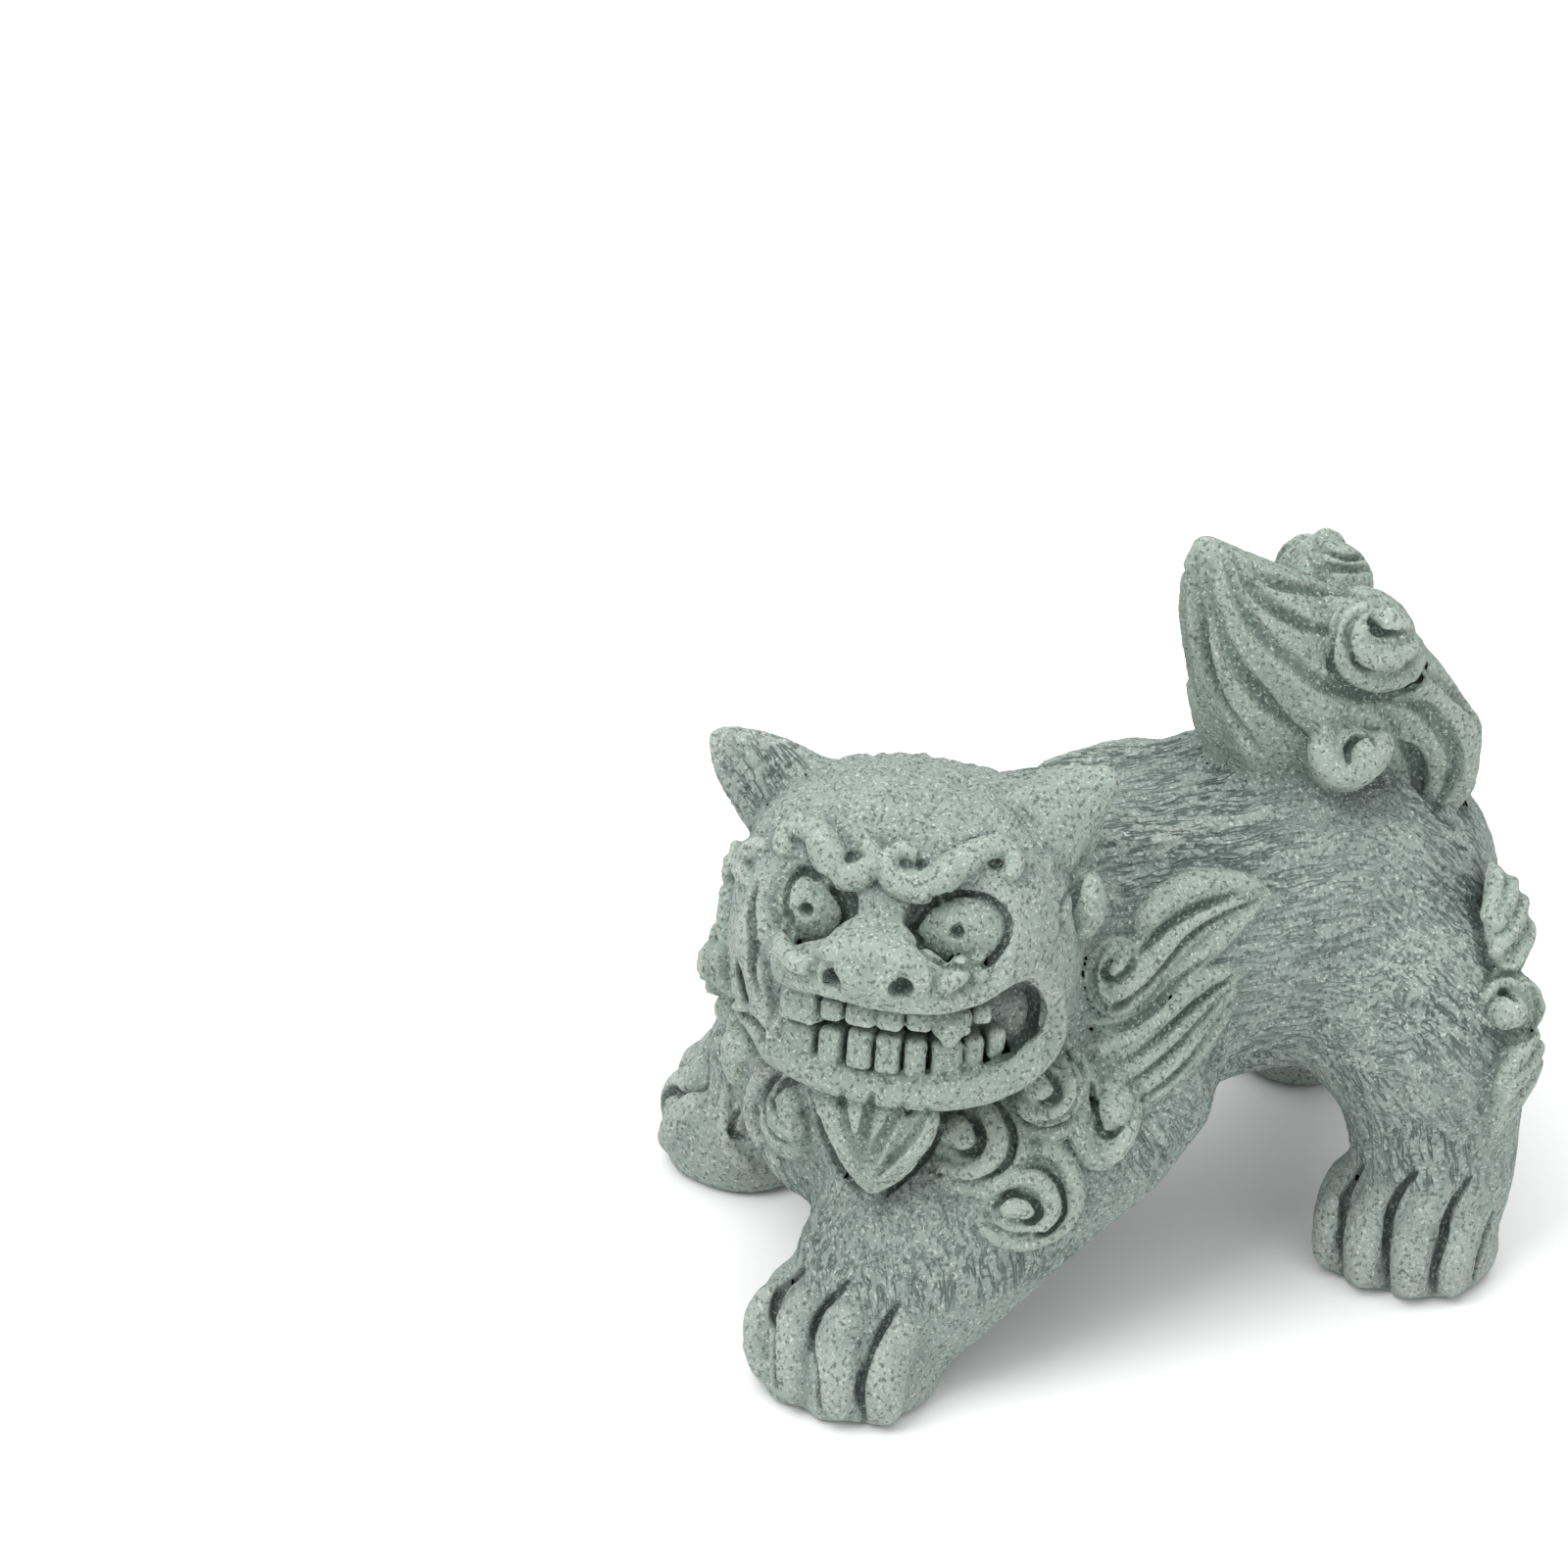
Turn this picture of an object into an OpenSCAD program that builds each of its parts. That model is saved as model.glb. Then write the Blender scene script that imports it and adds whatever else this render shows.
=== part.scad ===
// A carved stoneware lion in a low, playful stance: chest down, rump up, head turned to its left.
// Lengths are in millimetres. The lion looks along -Y, its left side is +X, and it stands on z = 0.
// Each form that carries relief is a loft, and each relief is cut by the forms that carry it,
// so that it sits on them without a gap.

/* [Stance] */
// distance between the toe line middles of the left and right paws
stance_w = 43; // [30:0.5:64]
// distance between the toe lines of the front and hind paws
stance_len = 62; // [44:0.5:93]
// height of the back over the ground
back_h = 55; // [44:0.5:82]
// how much further out the right front paw stands
front_right_out = 7; // [0:0.5:10]
// how much further out the right hind paw stands
hind_right_out = 7.5; // [0:0.5:11]

/* [Trunk] */
// how much longer the trunk is, chest front to rump end, than the stance
trunk_over = 16; // [10:0.5:22]
// how much narrower the trunk is at the chest than the stance
trunk_in = 6; // [3:0.5:9]

/* [Legs] */
// thickness of a front leg over the paw
front_leg_d = 15; // [11:0.5:22]
// thickness of a hind leg over the paw
hind_leg_d = 15; // [11:0.5:22]

/* [Paws] */
// width of a front paw over its four toes
front_paw_w = 20.5; // [14:0.5:29]
// length of a front paw
front_paw_len = 19; // [14:0.5:28]
// height of a front paw
front_paw_h = 12.5; // [9:0.5:19]
// width of a hind paw over its four toes
hind_paw_w = 19.5; // [13:0.5:28]
// length of a hind paw
hind_paw_len = 17.5; // [13:0.5:26]
// height of a hind paw
hind_paw_h = 12; // [9:0.5:18]
// how far the front paws turn outwards, in degrees
front_paw_turn = 36; // [20:1:50]
// how far the hind paws turn outwards, in degrees
hind_paw_turn = 49; // [30:1:60]
// how far a toe stands out between its grooves
toe_out = 1.6; // [0.6:0.1:2.4]

/* [Head] */
// width of the head at the cheeks
head_w = 34.5; // [28:0.5:52]
// height of the head, chin to top
head_h = 33; // [26:0.5:50]
// depth of the head, face to nape
head_d = 30; // [25:0.5:45]
// how far the head turns to its left, in degrees
head_turn = 57; // [45:1:65]
// how far the face looks up, in degrees
head_pitch = 15; // [8:1:22]

/* [Face] */
// width of the muzzle
muzzle_w = 19; // [15:0.5:28]
// height of the muzzle
muzzle_h = 8.5; // [6:0.5:13]
// width of the nose over its wings
nose_w = 11; // [8:0.5:16]
// height of the nose
nose_h = 5.5; // [4:0.5:8]
// width of an eye
eye_w = 9; // [7:0.5:13]
// height of an eye
eye_h = 7.8; // [6:0.2:11]
// width of one front tooth
tooth_w = 2.5; // [1.8:0.1:3.6]
// length of an ear from base to tip
ear_len = 11; // [9:0.5:17]
// width of an ear at its base
ear_w = 11.5; // [8:0.5:17]
// thickness of a brow
brow_d = 4; // [2.8:0.2:5.6]
// length of the chin beard
beard_len = 13; // [9:0.5:19]
// width of the chin beard
beard_w = 14.5; // [10:0.5:21]

/* [Relief] */
// width of the largest mane curl
curl_w = 10; // [7:0.2:15]
// how far a curl stands out of the surface
curl_out = 2.2; // [1.2:0.1:3.3]
// width of a flame lock
lock_w = 8.4; // [6:0.2:12]
// how far a flame lock stands out of the surface
lock_out = 2.2; // [1.2:0.1:3.3]

/* [Tail] */
// height of the tail plume from rump to tip
tail_h = 28; // [22:0.5:42]
// length of the tail plume, front edge to rear edge
tail_len = 31; // [24:0.5:46]
// width of the tail plume
tail_w = 19; // [15:0.5:28]

/* [Hidden] */
trunk_len = stance_len + trunk_over;
trunk_w = stance_w - trunk_in;
stone = [0.56, 0.62, 0.59];
relief = [0.52, 0.62, 0.56];
lids = [0.46, 0.54, 0.50];

function unit(v) = v / norm(v);
function soft(x, k) = sign(x) * pow(abs(x), k);

// one smooth row of a table of rows, t running from 0 to 1
function along(rows, t) =
    let (
        n = len(rows) - 1,
        u = t * n,
        i = min(floor(u), n - 1),
        f = u - i,
        p0 = rows[max(i - 1, 0)],
        p1 = rows[i],
        p2 = rows[i + 1],
        p3 = rows[min(i + 2, n)])
    (2 * p1 + (p2 - p0) * f + (2 * p0 - 5 * p1 + 4 * p2 - p3) * f * f
        + (3 * p1 - p0 - 3 * p2 + p3) * f * f * f) / 2;

// a closed section round c, across direction d; dent gives it ribs with n points between them
function ring(c, d, up, a, b, k, n, dent) =
    let (
        v = unit(up - (up * d) * d),
        u = cross(d, v))
    [for (i = [0:n - 1])
        let (
            t = 360 * i / n,
            rib = 1 - dent * (1 - abs(sin(540 * i / n))))
        c + (u * a * soft(cos(t), k) + v * b * soft(sin(t), k)) * rib];

// sections along a table of [x, y, z, half width, half thickness]
function limb(rows, up, k, n, m, dent = 0) =
    let (
        s = [for (j = [0:m]) along(rows, j / m)],
        c = [for (r = s) [r[0], r[1], r[2]]])
    [for (j = [0:m])
        ring(c[j], unit(c[min(j + 1, m)] - c[max(j - 1, 0)]), up, s[j][3], s[j][4], k, n, dent)];

// a closed solid through sections of equal length
module loft(rings) {
    n = len(rings[0]);
    m = len(rings);
    pts = [for (r = rings) each r];
    faces = concat(
        [[for (i = [0:n - 1]) n - 1 - i]],
        [for (j = [0:m - 2]) for (i = [0:n - 1])
            [j * n + i, (j + 1) * n + (i + 1) % n, (j + 1) * n + i]],
        [for (j = [0:m - 2]) for (i = [0:n - 1])
            [j * n + i, j * n + (i + 1) % n, (j + 1) * n + (i + 1) % n]],
        [[for (i = [0:n - 1]) (m - 1) * n + i]]);
    polyhedron(pts, faces, convexity = 6);
}

// an egg with the three half sizes of r, its poles along Y
egg_shares = [
    [-1.00, 0.12], [-0.87, 0.50], [-0.50, 0.87], [0.00, 1.00],
    [0.50, 0.87], [0.87, 0.50], [1.00, 0.12]];
module egg(r) {
    loft([for (s = egg_shares)
        ring([0, s[0] * r[1], 0], [0, 1, 0], [0, 0, 1], s[1] * r[0], s[1] * r[2], 1, 12, 0)]);
}

// a curled lock: a band that winds inwards to its middle, standing on a sunk foot
curl_turns = 2.25;
curl_steps = 10;
curl_groove_share = 0.45;
curl_sink_share = 1.7;
curl_wind_share = 0.93;
curl_edge_share = 0.2;
curl_crest_share = 0.9;
curl_rise_share = 0.15;
curl_knob_share = 1.1;
module curl(r, out) {
    n = curl_steps;
    last = floor(curl_turns * n);
    sink = -curl_sink_share * out;
    groove = [for (i = [0:last]) r * (1 - curl_wind_share * i / last)];
    ridge = [for (i = [0:last])
        i + n <= last ? (groove[i] + groove[i + n]) / 2 : (last - i) / n * groove[i] / 2];
    spin = function(i, q, z) [q * cos(360 * i / n), q * sin(360 * i / n), z];
    pts = concat(
        [for (i = [0:last]) spin(i, groove[i], (i < n ? -curl_edge_share : curl_groove_share) * out)],
        [for (i = [0:last - 1]) spin(i, ridge[i], out * (curl_crest_share + curl_rise_share * i / last))],
        [[0, 0, out * curl_knob_share]],
        [for (i = [0:n]) spin(i, groove[i], sink)],
        [[0, 0, sink]]);
    g = 0;
    m = last + 1;
    c = m + last;
    b = c + 1;
    faces = concat(
        [for (i = [0:last - 1]) [g + i, m + i, g + i + 1]],
        [for (i = [0:last - 2]) [g + i + 1, m + i, m + i + 1]],
        [[g + last, m + last - 1, c]],
        [for (i = [0:last - n - 1]) [m + i, g + i + n, m + i + 1]],
        [for (i = [0:last - n - 1]) [m + i + 1, g + i + n, g + i + n + 1]],
        [for (i = [last - n:last - 2]) [m + i, c, m + i + 1]],
        [[m + last - n, g + last, c]],
        [for (i = [0:n - 1]) [g + i, g + i + 1, b + i + 1]],
        [for (i = [0:n - 1]) [g + i, b + i + 1, b + i]],
        [[g + n, m, g]],
        [[g + n, g, b]],
        [[g + n, b, b + n]],
        [for (i = [1:n - 1]) [b + n + 1, b + i, b + i + 1]],
        [[b + 1, b + n + 1, b + n]],
        [[b + 1, b + n, b]]);
    polyhedron(pts, faces, convexity = 6);
}

// places its children with their own Z along the direction of azimuth az and elevation el
module stand(p, az, el, roll) {
    translate(p) rotate([0, 0, az]) rotate([0, 90 - el, 0]) rotate([0, 0, roll]) children();
}

// trunk: [place along, middle height, half width, half height],
// shares of trunk_len, back_h, trunk_w and back_h
trunk_shares = [
    [0.00, 0.43, 0.10, 0.08],
    [0.03, 0.43, 0.30, 0.22],
    [0.11, 0.46, 0.45, 0.335],
    [0.23, 0.53, 0.52, 0.385],
    [0.38, 0.61, 0.50, 0.36],
    [0.53, 0.65, 0.46, 0.31],
    [0.66, 0.67, 0.47, 0.312],
    [0.80, 0.67, 0.49, 0.32],
    [0.89, 0.63, 0.43, 0.25],
    [0.955, 0.59, 0.28, 0.165],
    [0.985, 0.575, 0.11, 0.07]];
trunk_front_share = 0.40;
module trunk_form() {
    rows = [for (s = trunk_shares)
        [0, (s[0] - trunk_front_share) * trunk_len, s[1] * back_h, s[2] * trunk_w, s[3] * back_h]];
    loft(limb(rows, [0, 0, 1], 0.94, 22, 14));
}

// legs: [x, y, z, half width, half depth], shares of stance_w, stance_len, back_h and the leg's thickness
front_leg_shares = [
    [0.22, 0.12, 0.60, 0.55, 0.60],
    [0.28, 0.03, 0.505, 0.80, 0.81],
    [0.31, -0.10, 0.41, 0.82, 0.79],
    [0.34, -0.22, 0.31, 0.78, 0.75],
    [0.365, -0.325, 0.215, 0.72, 0.74],
    [0.38, -0.37, 0.13, 0.62, 0.66],
    [0.385, -0.40, 0.05, 0.46, 0.48]];
hind_leg_shares = [
    [0.22, 0.50, 0.74, 0.42, 0.42],
    [0.27, 0.52, 0.62, 0.78, 0.78],
    [0.31, 0.56, 0.48, 0.80, 0.75],
    [0.335, 0.585, 0.36, 0.68, 0.63],
    [0.35, 0.59, 0.25, 0.58, 0.57],
    [0.36, 0.59, 0.15, 0.54, 0.54],
    [0.36, 0.59, 0.07, 0.42, 0.42]];
leg_top_share = 0.7;
// a leg that stands further out leans: its middle moves out by this share of that distance
leg_lean_share = 1.6;
hind_back_share = 0.7;
front_back_share = 0.45;
module leg_form(shares, d, back, out) {
    rows = [for (s = shares)
        let (lean = out * leg_lean_share * max(0, leg_top_share - s[2]))
        [s[0] * stance_w + lean, s[1] * stance_len + back * lean, s[2] * back_h, s[3] * d, s[4] * d]];
    loft(limb(rows, [0, -1, 0.2], 1, 14, 8));
}
module front_leg_form(out) {
    leg_form(front_leg_shares, front_leg_d, front_back_share, out);
}
module hind_leg_form(out) {
    leg_form(hind_leg_shares, hind_leg_d, hind_back_share, out);
}

// paws from the sole up: [height, half width, front reach, back reach, toe relief]
paw_shares = [
    [0.00, 0.44, 0.45, 0.40, 1.0],
    [0.12, 0.49, 0.50, 0.44, 1.0],
    [0.32, 0.50, 0.50, 0.46, 1.0],
    [0.55, 0.48, 0.44, 0.45, 0.9],
    [0.76, 0.43, 0.31, 0.42, 0.7],
    [0.92, 0.34, 0.15, 0.36, 0.4],
    [1.00, 0.22, 0.02, 0.26, 0.2]];
toes = 4;
paw_back_share = 0.36;
module paw_form(w, l, h) {
    n = 32;
    m = 6;
    rings = [for (j = [0:m])
        let (s = along(paw_shares, j / m))
        [for (i = [0:n - 1])
            let (
                t = -360 * i / n,
                x = soft(cos(t), 0.9) * s[1] * w,
                front = sin(t) < 0,
                wave = 1 - abs(sin(180 * toes * (cos(t) / 2 + 0.5))),
                reach = soft(sin(t), 0.9) * (front ? s[2] : s[3]) * l,
                dent = front ? toe_out * s[4] * wave * min(1, -3 * sin(t)) : 0)
            [x, reach + dent, s[0] * h]]];
    loft(rings);
}
front_paw_ahead_share = 0.06;
hind_paw_ahead_share = 0.08;
front_paw_in_share = 0.03;
hind_paw_in_share = 0.05;
module front_paw_form(out) {
    x = stance_w / 2 - front_paw_in_share * front_paw_w + out;
    y = -stance_len / 2 - front_paw_ahead_share * front_paw_len + front_back_share * out;
    translate([x, y, 0])
        rotate([0, 0, front_paw_turn])
            translate([0, front_paw_len * paw_back_share, 0])
                paw_form(front_paw_w, front_paw_len, front_paw_h);
}
module hind_paw_form(out) {
    x = stance_w / 2 - hind_paw_in_share * hind_paw_w + out;
    y = stance_len / 2 - hind_paw_ahead_share * hind_paw_len + hind_back_share * out;
    translate([x, y, 0])
        rotate([0, 0, hind_paw_turn])
            translate([0, hind_paw_len * paw_back_share, 0])
                paw_form(hind_paw_w, hind_paw_len, hind_paw_h);
}

// head from face to nape: [place, middle height, half width, half height],
// shares of head_d, head_h, head_w and head_h
head_shares = [
    [-0.58, 0.00, 0.20, 0.17],
    [-0.55, 0.00, 0.31, 0.28],
    [-0.49, 0.00, 0.40, 0.38],
    [-0.38, 0.00, 0.465, 0.455],
    [-0.22, 0.01, 0.50, 0.495],
    [0.00, 0.03, 0.49, 0.49],
    [0.20, 0.04, 0.44, 0.44],
    [0.38, 0.04, 0.33, 0.33],
    [0.48, 0.03, 0.16, 0.16]];
head_at_shares = [0.163, -0.265, 0.82];
module at_head() {
    translate([head_at_shares[0] * stance_w, head_at_shares[1] * stance_len, head_at_shares[2] * back_h])
        rotate([0, 0, head_turn])
            rotate([-head_pitch, 0, 0])
                children();
}
module head_form() {
    rows = [for (s = head_shares)
        [0, s[0] * head_d, s[1] * head_h, s[2] * head_w, s[3] * head_h]];
    loft(limb(rows, [0, 0, 1], 0.8, 22, 10));
}

// outline of the open mouth, shares of head_w and head_h
mouth_shares = [
    [-0.41, -0.01], [-0.36, -0.04], [-0.22, -0.085], [0, -0.105],
    [0.22, -0.085], [0.36, -0.04], [0.41, -0.01], [0.43, -0.10],
    [0.38, -0.22], [0.25, -0.30], [0, -0.33], [-0.25, -0.30],
    [-0.38, -0.22], [-0.43, -0.10]];
mouth_floor_share = 0.25;
module mouth_cut() {
    translate([0, -mouth_floor_share * head_d, 0])
        rotate([90, 0, 0])
            linear_extrude(head_d)
                polygon([for (s = mouth_shares) [s[0] * head_w, s[1] * head_h]]);
}
jaw_top_share = 0.07;
jaw_back_share = 0.06;
module jaw_block() {
    translate([-head_w, -head_d, -head_h - jaw_top_share * head_h])
        cube([2 * head_w, head_d - jaw_back_share * head_d, head_h]);
}

// eyes: place in shares of the head, depth of the socket and of the eye in shares of the eye's width
eye_at_shares = [0.205, -0.515, 0.175];
socket_shares = [0.60, 0.26, 0.61];
eye_depth_share = 0.34;
pupil_share = 0.12;
module at_eye() {
    translate([eye_at_shares[0] * head_w, eye_at_shares[1] * head_d, eye_at_shares[2] * head_h])
        children();
}
module socket() {
    at_eye() egg([socket_shares[0] * eye_w, socket_shares[1] * eye_w, socket_shares[2] * eye_h]);
}
module head_solid() {
    difference() {
        head_form();
        jaw_block();
        mouth_cut();
        socket();
        mirror([1, 0, 0]) socket();
    }
}
module jaw_solid() {
    difference() {
        intersection() {
            head_form();
            jaw_block();
        }
        mouth_cut();
    }
}
module eye_form() {
    difference() {
        at_eye() egg([eye_w / 2, eye_depth_share * eye_w, eye_h / 2]);
        head_solid();
        at_eye() rotate([90, 0, 0]) cylinder(r = pupil_share * eye_w, h = eye_w, $fn = 16);
    }
}

// muzzle: [place, middle height, half width, half height], shares of head_d, head_h, muzzle_w, muzzle_h
muzzle_shares = [
    [-0.40, 0.02, 0.50, 0.44],
    [-0.54, 0.02, 0.52, 0.48],
    [-0.62, 0.015, 0.46, 0.44],
    [-0.665, 0.01, 0.34, 0.34],
    [-0.685, 0.01, 0.16, 0.18]];
module muzzle_form() {
    rows = [for (s = muzzle_shares)
        [0, s[0] * head_d, s[1] * head_h, s[2] * muzzle_w, s[3] * muzzle_h]];
    loft(limb(rows, [0, 0, 1], 0.85, 16, 5));
}
nose_shares = [
    [-0.50, 0.13, 0.28, 0.50],
    [-0.60, 0.11, 0.40, 0.50],
    [-0.68, 0.085, 0.50, 0.46],
    [-0.73, 0.075, 0.42, 0.38],
    [-0.745, 0.075, 0.20, 0.20]];
nostril_shares = [0.30, -0.66, 0.06, 0.075];
nostril_turn = 15;
module nose_form() {
    rows = [for (s = nose_shares)
        [0, s[0] * head_d, s[1] * head_h, s[2] * nose_w, s[3] * nose_h]];
    difference() {
        loft(limb(rows, [0, 0, 1], 0.95, 14, 5));
        for (side = [-1, 1])
            translate([
                side * nostril_shares[0] * nose_w,
                nostril_shares[1] * head_d,
                nostril_shares[2] * head_h])
                rotate([90, 0, side * nostril_turn])
                    cylinder(r = nostril_shares[3] * nose_w, h = nose_w, $fn = 16);
    }
}

// brows and ears of the left side: [x, y, z, half width, half thickness]
brow_shares = [
    [0.085, -0.53, 0.39, 0.20],
    [0.04, -0.55, 0.36, 0.36],
    [0.065, -0.575, 0.305, 0.46],
    [0.13, -0.57, 0.30, 0.50],
    [0.20, -0.52, 0.355, 0.48],
    [0.265, -0.47, 0.39, 0.44],
    [0.315, -0.43, 0.36, 0.38],
    [0.305, -0.455, 0.31, 0.20]];
module brow_form() {
    rows = [for (s = brow_shares)
        [s[0] * head_w, s[1] * head_d, s[2] * head_h, s[3] * brow_d, s[3] * brow_d]];
    loft(limb(rows, [0, -1, 0.5], 1, 8, 13));
}
// moustache curl: [x, y, z, azimuth, elevation, roll, width, out], shares of the head, of curl_w and curl_out
whisker_shares = [0.275, -0.555, 0.04, -62, -5, 200, 0.52, 0.75];
module whisker_form() {
    s = whisker_shares;
    stand([s[0] * head_w, s[1] * head_d, s[2] * head_h], s[3], s[4], s[5])
        curl(s[6] * curl_w / 2, s[7] * curl_out);
}
ear_at_shares = [0.39, 0.0, 0.345];
ear_turn = 32;
ear_shares = [
    [-0.40, 0.00, 0.50, 0.22],
    [0.00, 0.00, 0.50, 0.22],
    [0.35, 0.00, 0.44, 0.18],
    [0.65, 0.02, 0.31, 0.14],
    [0.88, 0.05, 0.15, 0.09],
    [1.00, 0.07, 0.04, 0.03]];
module ear_form() {
    rows = [for (s = ear_shares)
        [s[0] * ear_len, s[1] * ear_len, 0, s[2] * ear_w, s[3] * ear_w]];
    translate([ear_at_shares[0] * head_w, ear_at_shares[1] * head_d, ear_at_shares[2] * head_h])
        rotate([0, -ear_turn, 0])
            loft(limb(rows, [0, 1, 0], 1, 12, 6));
}

// teeth: [place from the middle, length, half width], shares of tooth_w
tooth_shares = [[0.56, 1.35, 0.47], [1.66, 1.35, 0.47], [2.95, 2.36, 0.62], [4.20, 1.08, 0.45]];
// one tooth from gum to tip: [share of its length, shares of its half width across and deep]
tooth_form_shares = [[-0.12, 1.00, 0.90], [0.55, 1.00, 0.85], [1.00, 0.45, 0.35]];
// the gum reaches past the last tooth's middle; its half height, half depth and drop, shares of tooth_w
gum_past_share = 0.3;
gum_place_shares = [-1, -0.7, -0.26, 0.26, 0.7, 1];
gum_size_shares = [0.42, 0.40, 0.30];
// a row of teeth bows back by this share of head_w at one head_w from its middle
tooth_bow_share = 0.76;
upper_tooth_shares = [-0.535, -0.075];
lower_tooth_shares = [-0.445, -0.325];
function bow(x) = tooth_bow_share * x * x / head_w;
module tooth(x, y, l, w) {
    rows = [for (s = tooth_form_shares) [x, y + bow(x), s[0] * l, s[1] * w, s[2] * w]];
    loft(limb(rows, [0, -1, 0], 0.8, 6, 2));
}
module tooth_row(shares, way, count) {
    y = shares[0] * head_d;
    reach = (tooth_shares[count - 1][0] + gum_past_share) * tooth_w;
    gum = [for (q = gum_place_shares)
        [q * reach, y + bow(q * reach), way * gum_size_shares[2] * tooth_w,
         gum_size_shares[0] * tooth_w, gum_size_shares[1] * tooth_w]];
    translate([0, 0, shares[1] * head_h]) {
        loft(limb(gum, [0, 0, 1], 1, 6, 5));
        for (side = [-1, 1])
            for (i = [0:count - 1])
                scale([1, 1, way])
                    tooth(side * tooth_shares[i][0] * tooth_w, y, tooth_shares[i][1] * tooth_w,
                        tooth_shares[i][2] * tooth_w);
    }
}

// chin beard: [down, forward, half width, half thickness], shares of beard_len and beard_w
beard_at_shares = [0.0, -0.4267, -0.42];
beard_shares = [
    [-0.17, -0.03, 0.46, 0.15],
    [0.11, 0.02, 0.50, 0.18],
    [0.40, 0.05, 0.44, 0.17],
    [0.70, 0.04, 0.30, 0.13],
    [0.92, 0.00, 0.14, 0.08],
    [1.02, -0.03, 0.03, 0.03]];
beard_turn = 5;
module beard_form() {
    rows = [for (s = beard_shares)
        [0, -s[1] * beard_len, -s[0] * beard_len, s[2] * beard_w, s[3] * beard_w]];
    translate([beard_at_shares[0] * head_w, beard_at_shares[1] * head_d, beard_at_shares[2] * head_h])
        rotate([head_pitch + beard_turn, 0, 0])
            loft(limb(rows, [0, -1, 0], 1, 12, 6, 0.22));
}

// flame locks: [x, y, z] path, shares of trunk_w, trunk_len, back_h; then half width share of lock_w
module lock_form(shares, up, out = 0, back = 0) {
    rows = [for (s = shares)
        let (lean = out * leg_lean_share * max(0, leg_top_share - s[2]))
        [s[0] * trunk_w + lean, s[1] * trunk_len + back * lean, s[2] * back_h,
         s[3] * lock_w, s[4] * 2 * lock_out]];
    loft(limb(rows, up, 1, 12, 6, 0.2));
}
flame_upper_shares = [
    [0.45, 0.045, 0.80, 0.20, 0.30],
    [0.43, 0.085, 0.785, 0.44, 0.42],
    [0.41, 0.135, 0.80, 0.46, 0.44],
    [0.395, 0.185, 0.825, 0.30, 0.36],
    [0.38, 0.235, 0.855, 0.05, 0.16]];
flame_lower_shares = [
    [0.54, -0.01, 0.61, 0.12, 0.20],
    [0.50, 0.045, 0.635, 0.44, 0.42],
    [0.46, 0.10, 0.665, 0.46, 0.44],
    [0.45, 0.15, 0.70, 0.30, 0.36],
    [0.445, 0.195, 0.735, 0.05, 0.16]];
haunch_upper_shares = [
    [0.545, 0.53, 0.66, 0.26, 0.30],
    [0.50, 0.535, 0.70, 0.50, 0.48],
    [0.425, 0.54, 0.76, 0.46, 0.44],
    [0.35, 0.535, 0.82, 0.06, 0.16]];
haunch_lower_shares = [
    [0.615, 0.535, 0.55, 0.26, 0.30],
    [0.625, 0.53, 0.47, 0.52, 0.46],
    [0.625, 0.515, 0.39, 0.40, 0.40],
    [0.615, 0.49, 0.30, 0.05, 0.16]];
nape_shares = [
    [0.10, 0.00, 0.955, 0.20, 0.26],
    [0.15, 0.06, 0.935, 0.44, 0.38],
    [0.19, 0.12, 0.925, 0.42, 0.36],
    [0.22, 0.19, 0.94, 0.05, 0.14]];

// places of the curls: [x, y, z, azimuth, elevation, roll, width],
// shares of trunk_w, trunk_len, back_h, three angles and a share of curl_w
shoulder_curl_shares = [0.445, 0.025, 0.755, 4, 22, 200, 0.86];
neck_curl_shares = [0.585, -0.10, 0.615, -19, 28, 200, 0.86];
hook_curl_shares = [0.66, -0.03, 0.535, -4, 17, 120, 0.62];
chest_curl_shares = [0.57, -0.195, 0.52, -41, 29, 200, 0.98];
leg_curl_shares = [0.665, -0.14, 0.425, -10, 9, 200, 1.06];
throat_curl_shares = [0.20, -0.385, 0.455, -76, -3, 20, 0.92];
knob_curl_shares = [-0.14, -0.385, 0.46, -101, -4, 20, 0.70];
haunch_curl_shares = [0.56, 0.54, 0.60, 42, 10, 200, 0.84];
mane_curl_shares = [
    [-0.40, -0.24, 0.72, -160, 25, 20, 1.00],
    [-0.50, -0.16, 0.60, -175, 8, 20, 1.05],
    [-0.42, -0.09, 0.80, 175, 35, 20, 1.00],
    [-0.39, -0.32, 0.52, -150, 0, 20, 0.95],
    [-0.50, -0.235, 0.43, -165, -8, 20, 1.00]];
module body_curl(s, out = 0, back = 0) {
    lean = out * leg_lean_share * max(0, leg_top_share - s[2]);
    stand([s[0] * trunk_w + lean, s[1] * trunk_len + back * lean, s[2] * back_h], s[3], s[4], s[5])
        curl(s[6] * curl_w / 2, curl_out);
}
side_curl_shares = [
    [0.47, -0.04, 0.19, 5, 15, 200, 0.66],
    [-0.455, -0.10, 0.14, 185, 10, 20, 0.74],
    [-0.465, -0.14, -0.10, 185, -5, 20, 0.80],
    [-0.41, -0.12, -0.33, 190, -30, 20, 0.74]];
module head_curl(s) {
    stand([s[0] * head_w, s[1] * head_d, s[2] * head_h], s[3], s[4], s[5])
        curl(s[6] * curl_w / 2, curl_out);
}

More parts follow.
